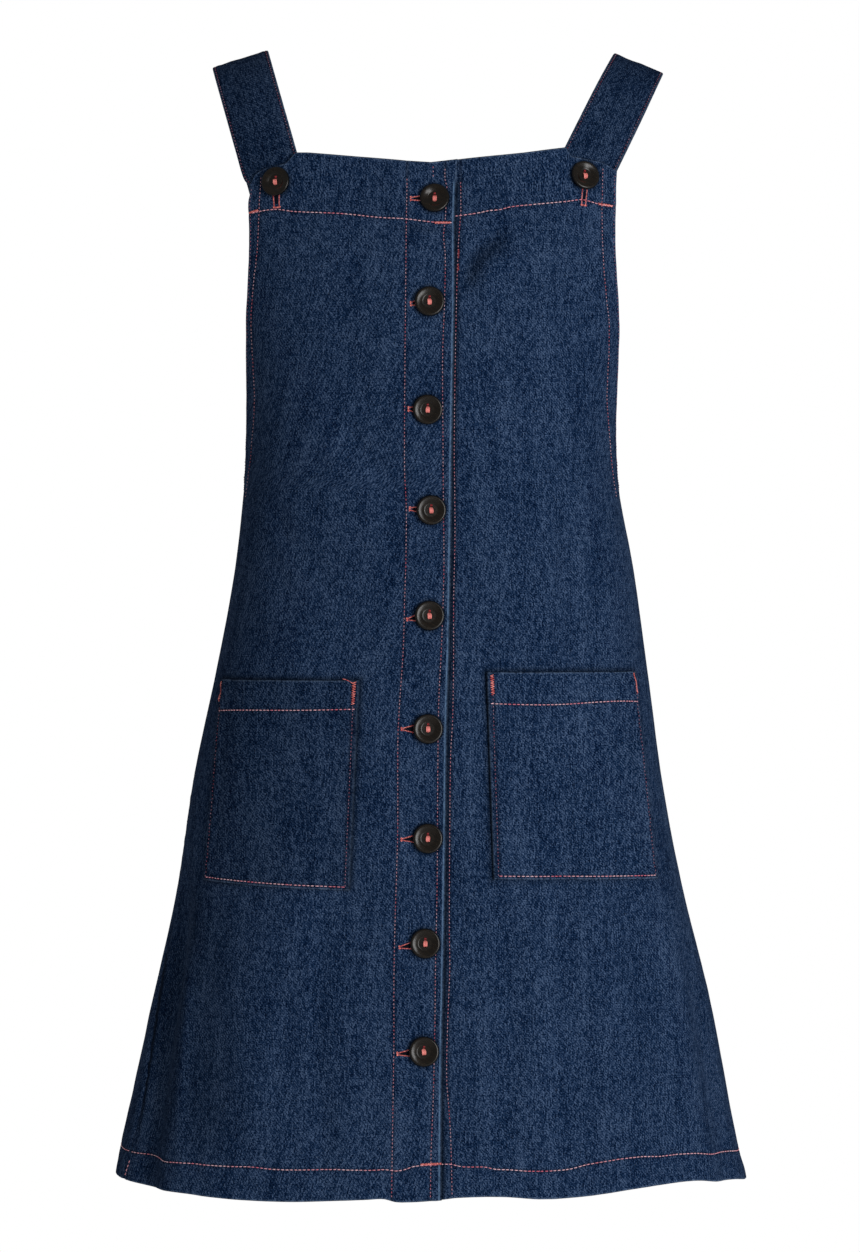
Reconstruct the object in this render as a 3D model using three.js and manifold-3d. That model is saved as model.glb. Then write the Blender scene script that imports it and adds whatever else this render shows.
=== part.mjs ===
// A denim pinafore dress, button-through at the front, in the hollow form it has when it is worn.
// Millimetres. +Z is up, the front of the dress faces -Y, and +X is the wearer's left.
// The origin lies between the shoulders, level with the top of the straps, which hold the dress up.
import * as THREE from "three";
import { mergeVertices } from "three/addons/utils/BufferGeometryUtils.js";
import Module from "manifold-3d";

const wasm = await Module();
wasm.setup();

const { lerp, degToRad, radToDeg, clamp, smoothstep } = THREE.MathUtils;

// ---------------------------------------------------------------- driving dimensions

const CLOTH = 1.5; // thickness of a single panel, seams and hems included
const STAND = 2.4; // thickness of the folded button stand
const STRAP = 2.2; // thickness of a strap, which is two layers
const GAP = 0.3; // clearance between neighbouring pieces
const HEM_Z = -870; // the hem, below the shoulders
const UNDERARM_Z = -338; // where each armhole ends and the side seam starts
const BIB_Z = -95; // the corners of the bib
const BACK_Z = -138; // the top edge of the back
const SQUARENESS = 2.4; // exponent of the body's sections: 2 is an ellipse
const BACK_DRAWN_IN = 20; // how much narrower than the bib each half of the back is at its top
const BUTTON_RADIUS = 11.25;
const BUTTON_HEIGHT = 3.6;
const SEAM_BLEND = 14; // width over which a front settles back from its raised button stand

const table = (names, ...rows) =>
  rows.map((row) => Object.fromEntries(names.map((name, i) => [name, row[i]])));

// Sections of the body, from the bib down to the hem. right and left are the half widths on the
// wearer's right and left, front and back the depths at the centre lines. Above the underarm the
// half widths are those of the armhole edges, and the spreads say how much wider than that the
// section would be if it went on round the side, which sets how flat each panel lies.
const BODY = table(
  ["z", "right", "left", "front", "back", "frontSpread", "backSpread"],
  [-80, 141.5, 142, 94, 80, 1.35, 1.28],
  [-150, 138.6, 140.6, 110, 90, 1.237, 1.2],
  [-210, 141.2, 143.6, 118, 96, 1.117, 1.11],
  [-260, 142.2, 142.9, 119, 97, 1.057, 1.055],
  [-300, 143.5, 142.9, 117, 94, 1.021, 1.022],
  [-338, 145.8, 146.2, 114, 92, 1, 1],
  [-400, 152.8, 157.7, 114, 95, 1, 1],
  [-480, 167.7, 168.8, 119, 106, 1, 1],
  [-560, 184.5, 179.4, 124, 114, 1, 1],
  [-650, 198.2, 196.6, 129, 120, 1, 1],
  [-740, 218.2, 218.9, 134, 126, 1, 1],
  [-838, 239.6, 237, 139.3, 132.1, 1, 1],
  [-870, 246, 245.4, 141, 134, 1, 1],
);

// The side seams, as angles from centre front. The dress has turned a little on the body, so the
// right seam comes forward towards the hem.
const SIDE_SEAMS = table(
  ["z", "right", "left"],
  [-338, 90, 90],
  [-520, 90, 91],
  [-690, 82, 93],
  [-805, 73, 95],
  [-870, 74, 96],
);

// The button stand: the edge that laps over, and the inner stitch line of its folded facing.
const STAND_LINES = table(
  ["z", "edge", "inner"],
  [-80, 19.5, -18.5],
  [-140, 17.3, -18.8],
  [-210, 16, -19.6],
  [-360, 15.2, -21],
  [-450, 13.9, -22.3],
  [-520, 11.6, -23.2],
  [-640, 10.1, -26],
  [-760, 7.9, -28],
  [-870, 7.2, -28.5],
);

// The top edge of the bib. Each strap lifts it, it drops where it hangs over the strap, and its
// corners hang a little.
const TOP_EDGE = table(
  ["x", "z"],
  [-150, -112],
  [-139.5, -106],
  [-135, -100],
  [-128, -96],
  [-110, -92.5],
  [-101.5, -84.4],
  [-92, -84.7],
  [-67, -87.3],
  [-38, -90.2],
  [-19, -92.2],
  [0, -93.4],
  [24, -90.4],
  [69, -85.3],
  [89.5, -82.1],
  [100.5, -80.4],
  [105, -87],
  [130, -91],
  [141, -96.5],
  [150, -98],
);

// How far the hem hangs below or above its level, by angle from centre front.
const HEM_EDGE = table(
  ["angle", "drop"],
  [-180, -2],
  [-95, -3],
  [-76, -3],
  [-65, -0.9],
  [-52, -0.9],
  [-45, 0.2],
  [-40, 1.4],
  [-30, 3],
  [-20, 2.6],
  [-8, -0.2],
  [-5.6, -0.9],
  [-3.9, 1.3],
  [-1.8, 1.2],
  [0.5, 0.1],
  [3, -1.6],
  [9, -2],
  [16, 0.3],
  [24, -0.7],
  [34, -4.9],
  [44, -6.9],
  [54, -7.2],
  [62, -4.4],
  [74, -2.6],
  [84, 0.5],
  [95, 1],
  [180, -2],
);

// The largest folds. Each runs down from z top to z bottom along a line of constant or drifting
// angle; depth is positive for a ridge and negative for a trough, and span is its half width.
const FOLDS = table(
  ["from", "to", "top", "bottom", "span", "depth"],
  [-75, -58, -600, -940, 7, -10],
  [-61, -47, -640, -940, 6, 3.5],
  [-30, -26, -620, -940, 9, -3],
  [28, 21.5, -520, -940, 6, -4],
  [41, 40, -300, -560, 8, -3],
  [47, 48, -600, -940, 9, -3.5],
  [70, 68, -660, -940, 7, -5],
  [112, 108, -480, -940, 9, -9],
  [134, 130, -560, -940, 8, 5],
  [152, 149, -430, -940, 10, -8],
  [178, 175, -600, -940, 9, -5],
  [-116, -108, -520, -940, 9, -10],
  [-137, -132, -620, -940, 8, 5],
  [-155, -152, -450, -940, 10, -8],
);

// Levels of the rows of facets, from the hem to just under the bib's top edge.
const FRONT_LEVELS = [
  -870, -835, -795, -755, -710, -665, -620, -575, -530, -485, -440, -400, -365, -338, -329, -316, -296,
  -268, -232, -190, -150, -118,
];
const BACK_LEVELS = [
  -870, -835, -795, -755, -710, -665, -620, -575, -530, -485, -440, -400, -365, -338, -329, -316, -296,
  -268, -235, -205, -178, -157,
];

// The patch pockets: the slanting lines of their outer and inner sides.
const POCKETS = table(
  ["name", "topZ", "bottomZ", "outerTop", "outerBottom", "innerTop", "innerBottom", "tilt"],
  ["pocket_right", -484.5, -635.2, -159, -172.6, -54, -61, -4.8],
  ["pocket_left", -478.4, -634.5, 155, 171, 42, 46.9, 2.7],
);

// Buttons down the stand, from the bib to the hem, numbered from the top.
const STAND_BUTTONS = table(
  ["x", "z"],
  [2.7, -121.1],
  [-1.1, -199.8],
  [-2.5, -280.8],
  [0.2, -356.1],
  [-1.1, -435.4],
  [-2.2, -520.2],
  [-2.4, -602],
  [-4.3, -680.1],
  [-5.2, -760.3],
);

// The straps: side is the sign of x, the ridge is where each goes over the shoulder, lean is its
// slant from upright and ridgeLean that of its fold from level, in degrees, and bibHalf is how far
// out its hidden end may reach behind the bib. The button sits at buttonX, buttonZ.
const STRAPS = table(
  ["name", "side", "ridgeX", "ridgeZ", "lean", "ridgeLean", "width", "bibHalf", "buttonX", "buttonZ"],
  ["right", -1, -148.5, -2, 16, 17.4, 45.2, 136.5, -117.3, -106.1],
  ["left", 1, 161.7, -5.2, 26.1, 22.3, 42.8, 138, 116.3, -101.4],
);

// A strap's course, from its buttoned end to its end inside the back: how far below the ridge
// each station lies, measured along the strap's slant, and what share it has of the depth of the
// panel that it reaches. A share of 1 lies on the panel.
const STRAP_COURSE = table(
  ["leg", "down", "share"],
  ["front", 134, 1],
  ["front", 120, 1],
  ["front", 106, 1],
  ["front", 100, 0.995],
  ["front", 94, 0.985],
  ["front", 78, 0.92],
  ["front", 60, 0.83],
  ["front", 42, 0.71],
  ["front", 26, 0.565],
  ["front", 13.5, 0.41],
  ["front", 5, 0.255],
  ["front", 1.2, 0.125],
  ["front", 0, 0],
  ["back", 1.2, 0.12],
  ["back", 5, 0.245],
  ["back", 14, 0.4],
  ["back", 28, 0.56],
  ["back", 48, 0.71],
  ["back", 72, 0.83],
  ["back", 98, 0.915],
  ["back", 120, 0.955],
  ["back", 134, 0.978],
  ["back", 147, 0.995],
  ["back", 162, 1],
  ["back", 178, 1],
);

// ---------------------------------------------------------------- reading the tables

// The value of one column at a place along another, smooth through every row.
function read(rows, along, column, at) {
  const order = rows[0][along] < rows[1][along] ? rows : [...rows].reverse();
  const last = order.length - 1;
  const clamped = clamp(at, order[0][along], order[last][along]);
  const found = order.findIndex((row) => row[along] >= clamped);
  const i = Math.max(found, 1);
  const [a, b] = [order[i - 1], order[i]];
  const [before, after] = [order[Math.max(i - 2, 0)], order[Math.min(i + 1, last)]];
  const width = b[along] - a[along];
  const slope = (p, q) => (q[column] - p[column]) / Math.max(q[along] - p[along], 1e-9);
  const t = (clamped - a[along]) / width;
  const startSlope = slope(before, b) * width;
  const endSlope = slope(a, after) * width;
  const t2 = t * t;
  const t3 = t2 * t;
  return (
    (2 * t3 - 3 * t2 + 1) * a[column] +
    (t3 - 2 * t2 + t) * startSlope +
    (3 * t2 - 2 * t3) * b[column] +
    (t3 - t2) * endSlope
  );
}

// The same without smoothing, for an outline that has real corners.
function readStraight(rows, along, column, at) {
  const clamped = clamp(at, rows[0][along], rows[rows.length - 1][along]);
  const i = Math.max(rows.findIndex((row) => row[along] >= clamped), 1);
  const t = (clamped - rows[i - 1][along]) / (rows[i][along] - rows[i - 1][along]);
  return lerp(rows[i - 1][column], rows[i][column], t);
}

// ---------------------------------------------------------------- the body's surface

// How much wider than its armhole edge the section of the front or back is at a level.
function spreadAt(z, isFront) {
  return z > UNDERARM_Z ? Math.max(read(BODY, "z", isFront ? "frontSpread" : "backSpread", z), 1) : 1;
}

// Angle, from centre front or centre back, of the armhole edge at a level above the underarm.
function armholeAngle(z, isFront) {
  return radToDeg(Math.asin(spreadAt(z, isFront) ** (-SQUARENESS / 2)));
}

// Half width and depth of the section at a level, on one side of the front or of the back.
function sectionSize(z, side, isFront) {
  const drawnIn = isFront ? 0 : BACK_DRAWN_IN * smoothstep(z, UNDERARM_Z, BACK_Z);
  const edge = read(BODY, "z", side < 0 ? "right" : "left", z) - drawnIn;
  return { half: edge * spreadAt(z, isFront), depth: read(BODY, "z", isFront ? "front" : "back", z) };
}

// An angle brought to within half a turn of centre front.
const turn = (angle) => ((((angle + 180) % 360) + 360) % 360) - 180;

// Height of the folds over the plain section.
function foldHeight(angle, z) {
  let height = 0;
  for (const fold of FOLDS) {
    const along = clamp((fold.top - z) / (fold.top - fold.bottom), 0, 1);
    const away = turn(angle - lerp(fold.from, fold.to, along)) / fold.span;
    const rise = smoothstep(along, 0, 0.35) * (1 - smoothstep(along, 0.9, 1));
    height += fold.depth * rise * Math.exp(-away * away);
  }
  return height;
}

// A point of the body at an angle from centre front, positive to the wearer's left. offset moves
// it outwards along the section's normal, and shift moves it round the section.
function bodyPoint(angle, z, offset = 0, shift = 0) {
  const turned = turn(angle);
  const side = turned < 0 ? -1 : 1;
  const isFront = Math.abs(turned) <= 90;
  const fromCentre = degToRad(isFront ? Math.abs(turned) : 180 - Math.abs(turned));
  const { half, depth } = sectionSize(z, side, isFront);
  const [sine, cosine] = [Math.sin(fromCentre), Math.max(Math.cos(fromCentre), 0)];
  const facing = isFront ? -1 : 1;
  const x = side * half * sine ** (2 / SQUARENESS);
  const y = facing * depth * cosine ** (2 / SQUARENESS);
  const normal = new THREE.Vector2(
    (side * sine ** (2 - 2 / SQUARENESS)) / half,
    (facing * cosine ** (2 - 2 / SQUARENESS)) / depth,
  ).normalize();
  const out = offset + foldHeight(turned, z);
  return new THREE.Vector3(
    x + normal.x * out - normal.y * shift,
    y + normal.y * out + normal.x * shift,
    z,
  );
}

// The angle at which the front has a given x.
function angleAtX(x, z) {
  const { half } = sectionSize(z, x, true);
  const share = clamp(Math.abs(x) / half, 0, 1);
  return Math.sign(x) * radToDeg(Math.asin(share ** (SQUARENESS / 2)));
}

// The outward normal at a point of the body, with the slope of the skirt in it.
function bodyNormal(angle, z, offset) {
  const step = 2;
  const here = bodyPoint(angle, z, offset);
  const across = bodyPoint(angle + step, z, offset).sub(here);
  const up = bodyPoint(angle, z + step, offset).sub(here);
  return across.cross(up).normalize();
}

// ---------------------------------------------------------------- walls

// A closed wall between two faces. Each face gives a point for a column and a row; columns run
// towards the wearer's left at the front, and rows run upwards.
function wall(columns, rows, outer, inner) {
  const positions = [];
  const index = [];
  for (const face of [outer, inner]) {
    for (let j = 0; j <= rows; j++) {
      for (let i = 0; i <= columns; i++) positions.push(...face(i, j).toArray());
    }
  }
  const perFace = (columns + 1) * (rows + 1);
  const at = (face, i, j) => face * perFace + j * (columns + 1) + i;
  const quad = (a, b, c, d) => index.push(a, b, c, a, c, d);
  for (let j = 0; j < rows; j++) {
    for (let i = 0; i < columns; i++) {
      quad(at(0, i, j), at(0, i + 1, j), at(0, i + 1, j + 1), at(0, i, j + 1));
      quad(at(1, i, j), at(1, i, j + 1), at(1, i + 1, j + 1), at(1, i + 1, j));
    }
    quad(at(0, 0, j), at(0, 0, j + 1), at(1, 0, j + 1), at(1, 0, j));
    quad(at(0, columns, j), at(1, columns, j), at(1, columns, j + 1), at(0, columns, j + 1));
  }
  for (let i = 0; i < columns; i++) {
    quad(at(0, i, 0), at(1, i, 0), at(1, i + 1, 0), at(0, i + 1, 0));
    quad(at(0, i, rows), at(0, i + 1, rows), at(1, i + 1, rows), at(1, i, rows));
  }
  const geometry = new THREE.BufferGeometry();
  geometry.setAttribute("position", new THREE.Float32BufferAttribute(positions, 3));
  geometry.setIndex(index);
  geometry.computeVertexNormals();
  return geometry;
}

// The level of a row at an angle: the hem row follows the hem's uneven edge, and the rows just
// above it follow less and less.
function levelAt(level, angle) {
  const drop = read(HEM_EDGE, "angle", "drop", angle);
  return level - drop * smoothstep(-level, 700, -HEM_Z);
}

// ---------------------------------------------------------------- the pieces of cloth

const FRONT_COLUMNS = 18;

// A front panel. side is -1 for the wearer's right, which laps over and carries the button stand,
// and 1 for the left, which passes under it. Column 0 is on the placket, the last on the side.
function frontPanel(side) {
  const laps = side < 0;
  const placket = (z) => {
    const edge = read(STAND_LINES, "z", "edge", z);
    const inner = read(STAND_LINES, "z", "inner", z);
    return laps ? [edge, lerp(edge, inner, 0.5), inner, inner - SEAM_BLEND] : [inner + 3, edge - 6, edge + 4];
  };
  const lift = (column) => (laps ? [1, 1, 1, 0][Math.min(column, 3)] : 0);
  const sideAngle = (z) =>
    z > UNDERARM_Z
      ? side * armholeAngle(z, true)
      : side * read(SIDE_SEAMS, "z", side < 0 ? "right" : "left", z);
  const place = (column, level) => {
    const near = placket(level);
    if (column < near.length) return angleAtX(near[column], level);
    const start = angleAtX(near[near.length - 1], level);
    return lerp(start, sideAngle(level), (column - near.length + 1) / (FRONT_COLUMNS - near.length + 1));
  };
  const point = (column, row, offset) => {
    const isTop = row === FRONT_LEVELS.length;
    const level = isTop ? BIB_Z : FRONT_LEVELS[row];
    const angle = place(column, level);
    const z = isTop ? readStraight(TOP_EDGE, "x", "z", bodyPoint(angle, level).x) : levelAt(level, angle);
    const shift = column === FRONT_COLUMNS ? (-side * GAP) / 2 : 0;
    return bodyPoint(place(column, isTop ? z : level), z, offset, shift);
  };
  const face = (i, j, single, stand) => {
    const column = laps ? FRONT_COLUMNS - i : i;
    return point(column, j, lerp(single, stand, lift(column)));
  };
  return wall(
    FRONT_COLUMNS,
    FRONT_LEVELS.length,
    (i, j) => face(i, j, 0, GAP + STAND),
    (i, j) => face(i, j, -CLOTH, GAP),
  );
}

const BACK_COLUMNS = 34;

// The back, one piece from side seam to side seam.
function backPanel() {
  const edges = (z) =>
    z > UNDERARM_Z
      ? [180 - armholeAngle(z, false), 180 + armholeAngle(z, false)]
      : [read(SIDE_SEAMS, "z", "left", z), 360 - read(SIDE_SEAMS, "z", "right", z)];
  const face = (i, j, offset) => {
    const level = j === BACK_LEVELS.length ? BACK_Z : BACK_LEVELS[j];
    const [start, end] = edges(level);
    const angle = lerp(start, end, i / BACK_COLUMNS);
    const shift = i === 0 ? GAP / 2 : i === BACK_COLUMNS ? -GAP / 2 : 0;
    return bodyPoint(angle, levelAt(level, turn(angle)), offset, shift);
  };
  return wall(
    BACK_COLUMNS,
    BACK_LEVELS.length,
    (i, j) => face(i, j, 0),
    (i, j) => face(i, j, -CLOTH),
  );
}

// A patch pocket, laid on its front panel.
function pocketGeometry(pocket) {
  const [columns, rows] = [9, 6];
  const lift = GAP + 0.5;
  const face = (i, j, offset) => {
    const up = j / rows;
    const across = pocket.outerTop < 0 ? i / columns : 1 - i / columns;
    const z = lerp(pocket.bottomZ, pocket.topZ, up) + pocket.tilt * across * (1 - up);
    const outerX = lerp(pocket.outerBottom, pocket.outerTop, up);
    const innerX = lerp(pocket.innerBottom, pocket.innerTop, up);
    return bodyPoint(lerp(angleAtX(outerX, z), angleAtX(innerX, z), across), z, offset);
  };
  return wall(
    columns,
    rows,
    (i, j) => face(i, j, lift + CLOTH),
    (i, j) => face(i, j, lift),
  );
}

// Depth (y) of the middle of a strap that lies inside the front or the back.
function depthInside(leg, x, z) {
  const isFront = leg === "front";
  const { half } = sectionSize(z, x, isFront);
  const fromCentre = radToDeg(Math.asin(clamp(Math.abs(x) / half, 0, 1) ** (SQUARENESS / 2)));
  const angle = Math.sign(x) * (isFront ? fromCentre : 180 - fromCentre);
  const inwards = -(CLOTH + GAP + 0.2 + STRAP / 2);
  return bodyPoint(angle, z).y + inwards / bodyNormal(angle, z, 0).y;
}

// A strap, from its buttoned end behind the bib, over the shoulder, to its end inside the back.
function strapGeometry(strap) {
  const [columns, rows] = [4, STRAP_COURSE.length - 1];
  const slant = degToRad(strap.lean);
  const down = new THREE.Vector2(-strap.side * Math.sin(slant), -Math.cos(slant));
  const ridgeSlope = Math.tan(degToRad(strap.ridgeLean)) * Math.cos(slant);
  const panelTop = { front: 92, back: 140 };
  // The strap as seen from the front, its hidden end drawn in far enough to lie behind the bib.
  const seen = (leg, distance, i) => {
    const aside = (i / columns - 0.5) * strap.width;
    const slope = lerp(Math.sin(slant), ridgeSlope, Math.exp(-((distance / 25) ** 2)));
    const outermost = strap.ridgeX + down.x * distance + (strap.side * Math.cos(slant) * strap.width) / 2;
    const tuck = leg === "front" ? smoothstep(distance, 98, 106) : 0;
    const drawnIn = Math.max(Math.abs(outermost) - strap.bibHalf, 0) * tuck;
    return new THREE.Vector2(
      strap.ridgeX + down.x * distance + Math.cos(slant) * aside - strap.side * drawnIn,
      strap.ridgeZ + down.y * distance - strap.side * slope * aside,
    );
  };
  const middle = (i, j) => {
    const station = STRAP_COURSE[clamp(j, 0, rows)];
    const here = seen(station.leg, station.down, i);
    const reached = seen(station.leg, Math.max(station.down, panelTop[station.leg]), i);
    const depth = depthInside(station.leg, reached.x, reached.y);
    return new THREE.Vector3(here.x, station.share * depth, here.y);
  };
  const face = (i, j, offset) => {
    const along = middle(i, j < rows ? j + 1 : j).sub(middle(i, j > 0 ? j - 1 : j));
    const sideways = middle(Math.min(i + 1, columns), j).sub(middle(Math.max(i - 1, 0), j));
    return middle(i, j).addScaledVector(sideways.cross(along).normalize(), offset);
  };
  return wall(
    columns,
    rows,
    (i, j) => face(i, j, STRAP / 2),
    (i, j) => face(i, j, -STRAP / 2),
  );
}

// ---------------------------------------------------------------- buttons

function toManifold(geometry) {
  const bare = geometry.clone();
  bare.deleteAttribute("normal");
  bare.deleteAttribute("uv");
  const merged = mergeVertices(bare, 1e-4);
  return new wasm.Manifold(
    new wasm.Mesh({
      numProp: 3,
      vertProperties: new Float32Array(merged.attributes.position.array),
      triVerts: new Uint32Array(merged.index.array),
    }),
  );
}

function fromManifold(solid) {
  const mesh = solid.getMesh();
  const geometry = new THREE.BufferGeometry();
  geometry.setAttribute("position", new THREE.Float32BufferAttribute(mesh.vertProperties, 3));
  geometry.setIndex([...mesh.triVerts]);
  geometry.computeVertexNormals();
  return geometry;
}

// A button: a rounded rim round a sunken middle with two holes for the thread. Its back lies at
// z = 0 and its face looks along +Z.
function buttonGeometry() {
  const R = BUTTON_RADIUS;
  const H = BUTTON_HEIGHT;
  const profile = [
    [0, 0],
    [R * 0.82, 0],
    [R, H * 0.38],
    [R * 0.95, H * 0.8],
    [R * 0.8, H],
    [R * 0.66, H * 0.88],
    [R * 0.5, H * 0.6],
    [0, H * 0.56],
  ].map(([radius, height]) => new THREE.Vector2(radius, height));
  const disc = new THREE.LatheGeometry(profile, 18).rotateX(Math.PI / 2);
  let solid = toManifold(disc);
  for (const side of [-1, 1]) {
    const hole = new THREE.CylinderGeometry(1.1, 1.1, 3 * H, 8).rotateX(Math.PI / 2);
    solid = solid.subtract(toManifold(hole.translate(0, side * 2, 0)));
  }
  return fromManifold(solid);
}

// ---------------------------------------------------------------- the dress

const DENIM = { color: 0x1f3a63, roughness: 0.9, metalness: 0 };
const STRAP_DENIM = { color: 0x1d3459, roughness: 0.9, metalness: 0 };
const HORN = { color: 0x2a1d18, roughness: 0.25, metalness: 0 };

const dress = new THREE.Group();

function addPiece(name, geometry, finish) {
  const mesh = new THREE.Mesh(geometry, new THREE.MeshStandardMaterial(finish));
  mesh.name = name;
  dress.add(mesh);
  return mesh;
}

// Seats a button on the front at x, z, its back clear of the cloth there.
function addButton(name, geometry, x, z, clothTop) {
  const angle = angleAtX(x, z);
  const seat = clothTop + GAP + 0.2;
  const button = addPiece(name, geometry.clone(), HORN);
  button.position.copy(bodyPoint(angle, z, seat));
  button.quaternion.setFromUnitVectors(new THREE.Vector3(0, 0, 1), bodyNormal(angle, z, seat));
}

addPiece("front_right", frontPanel(-1), DENIM);
addPiece("front_left", frontPanel(1), DENIM);
addPiece("back", backPanel(), DENIM);
for (const pocket of POCKETS) addPiece(pocket.name, pocketGeometry(pocket), DENIM);
for (const strap of STRAPS) addPiece(`strap_${strap.name}`, strapGeometry(strap), STRAP_DENIM);

const button = buttonGeometry();
STAND_BUTTONS.forEach(({ x, z }, i) => addButton(`button_${i + 1}`, button, x, z, GAP + STAND));
for (const strap of STRAPS) {
  addButton(`button_strap_${strap.name}`, button, strap.buttonX, strap.buttonZ, 0);
}

export default dress;
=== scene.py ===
"""The looks of a denim pinafore dress, buttoned down the front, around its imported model.

Tables and shapes are in millimetres, as a sewing pattern is, and MM turns them into Blender's metres.
+Z is up, the front of the dress faces -Y and +X is the wearer's left. Angles go round the body from
centre front, positive to the wearer's left.
"""

import math

import bpy
import numpy as np
from mathutils import Matrix, Vector


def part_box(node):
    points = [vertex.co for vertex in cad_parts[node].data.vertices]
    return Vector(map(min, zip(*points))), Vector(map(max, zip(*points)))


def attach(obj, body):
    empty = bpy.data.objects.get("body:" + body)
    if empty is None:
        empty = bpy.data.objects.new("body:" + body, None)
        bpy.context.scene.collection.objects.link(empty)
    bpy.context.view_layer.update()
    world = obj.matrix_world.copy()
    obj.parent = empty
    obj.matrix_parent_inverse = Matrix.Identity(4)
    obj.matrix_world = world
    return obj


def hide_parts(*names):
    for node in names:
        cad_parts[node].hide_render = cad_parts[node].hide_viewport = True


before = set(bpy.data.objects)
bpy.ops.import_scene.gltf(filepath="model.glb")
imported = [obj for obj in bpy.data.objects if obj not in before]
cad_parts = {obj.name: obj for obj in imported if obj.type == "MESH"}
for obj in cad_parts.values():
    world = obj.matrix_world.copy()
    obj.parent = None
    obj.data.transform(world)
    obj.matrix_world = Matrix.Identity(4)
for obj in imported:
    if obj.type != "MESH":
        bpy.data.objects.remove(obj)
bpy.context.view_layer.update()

MM = 0.001

# ---------------------------------------------------------------- driving dimensions, as in the part

CLOTH = 1.0  # one layer of denim
FACED = 1.9  # two layers, where an edge is turned in and stitched
BACK_FACED = FACED - 0.2
POCKET_CLOTH = 1.2
STRAP = 2.0
STRAP_CLEARANCE = 1  # between the cloth and a strap's end inside it
STAND_LIFT = 2.6  # how far the lapping button stand stands off the front under it
GAP = 0.3
HEM_Z = -870
UNDERARM_Z = -338
BIB_Z = -95
BACK_Z = -138
SQUARENESS = 2.4
BACK_DRAWN_IN = 20
BUTTON_RADIUS = 11.25
BUTTON_HEIGHT = 3.6

ARMHOLE_HEM = 8.2  # on the back; the fronts have theirs in ARMHOLE_LINES
ARMHOLE_EDGE_SEAM = 1.6  # the row nearest the armhole on the fronts
BACK_FACING = 35  # how deep the facing at the top of the back is
POCKET_SIDE_SEAM = 2.4
POCKET_BOTTOM_SEAM = 1.9
STRAP_SEAM = 1.3

# The kinds of topstitching: from one stitch to the next, how much of that is thread on the outside, the
# thread's radius, and its brightness, which is painted shade: the lower it is, the darker the thread is
# drawn. Rows across the cloth lie on top of it, those along it sink in and are drawn darker, and those on
# an edge sink deeper and darker.
LYING = (3.3, 0.86, 0.38, 1.0)
SUNK = (2.8, 0.6, 0.33, 0.5)
DEEP = (2.8, 0.5, 0.28, 0.15)


def table(names, *rows):
    """A table as its columns: an array with one value a row, for each name."""
    return {name: np.array(column, float) for name, column in zip(names.split(), zip(*rows))}


def rows_of(columns):
    """The rows of a table, each as a name and value dictionary."""
    return [dict(zip(columns, values)) for values in zip(*columns.values())]


BODY = table(
    "z right left front back front_spread back_spread",
    (-80, 141.5, 142, 94, 80, 1.35, 1.28),
    (-150, 138.6, 140.6, 110, 90, 1.237, 1.2),
    (-210, 141.2, 143.6, 118, 96, 1.117, 1.11),
    (-260, 142.2, 142.9, 119, 97, 1.057, 1.055),
    (-300, 143.5, 142.9, 117, 94, 1.021, 1.022),
    (-338, 145.8, 146.2, 114, 92, 1, 1),
    (-400, 152.8, 157.7, 114, 95, 1, 1),
    (-480, 167.7, 168.8, 119, 106, 1, 1),
    (-560, 184.5, 179.4, 124, 114, 1, 1),
    (-650, 198.2, 196.6, 129, 120, 1, 1),
    (-740, 218.2, 218.9, 134, 126, 1, 1),
    (-838, 239.6, 237, 139.3, 132.1, 1, 1),
    (-870, 246, 245.4, 141, 134, 1, 1),
)

SIDE_SEAMS = table(
    "z right left",
    (-338, 90, 90),
    (-520, 90, 91),
    (-690, 82, 93),
    (-805, 73, 95),
    (-870, 74, 96),
)

STAND_LINES = table(
    "z edge inner",
    (-80, 19.5, -18),
    (-107, 18.6, -18.1),
    (-140, 17.5, -18.6),
    (-185, 17.6, -19),
    (-260, 16.4, -19.6),
    (-326, 15.3, -19.8),
    (-353, 15.1, -18.6),
    (-394, 14.6, -18.9),
    (-424, 14, -19.8),
    (-462, 13.4, -20.9),
    (-499, 12.2, -23.4),
    (-528, 11.6, -24.8),
    (-600, 10.8, -25),
    (-662, 9.9, -26.8),
    (-707, 9.1, -27.7),
    (-752, 8.2, -27.7),
    (-797, 7.6, -28.3),
    (-870, 7.2, -29.4),
)

# The row of stitches along the lapping edge.
EDGE_ROW = table(
    "z x",
    (-97, 10.5), (-106, 10.4), (-112, 11.8), (-122, 11.4), (-137, 10.6),
    (-150, 9.3), (-165, 10.6), (-200, 10), (-240, 8.6), (-310, 8.9), (-353, 9.2),
    (-394, 9.6), (-424, 9), (-462, 7.6), (-499, 5.7), (-560, 4.9), (-640, 4.4),
    (-700, 3.2), (-740, 2.8), (-797, 1.5), (-833, 0), (-870, -0.6),
)

# The stitch line of the facing on the front that passes under, just clear of the lapping edge.
UNDER_LINE = table(
    "z x",
    (-100, 22), (-130, 22.4), (-141, 21.6), (-161, 20.2), (-222, 18.5),
    (-311, 17.3), (-345, 17.8), (-379, 17.9), (-424, 16.9), (-469, 16.8),
    (-513, 16.1), (-540, 14.6), (-602, 13.9), (-670, 13.6), (-700, 13.9),
    (-737, 12.4), (-781, 11.6), (-804, 13.3), (-826, 14.6), (-870, 15.7),
)

TOP_EDGE = table(
    "x z",
    (-150, -112), (-139.5, -106), (-135, -100), (-128, -96), (-110, -92.5),
    (-101.5, -84.4), (-92, -84.7), (-67, -87.3), (-38, -90.2), (-19, -92.2),
    (0, -93.4), (24, -90.4), (69, -85.3), (89.5, -82.1), (100.5, -80.4), (105, -87),
    (130, -91), (141, -96.5), (150, -98),
)

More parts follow.
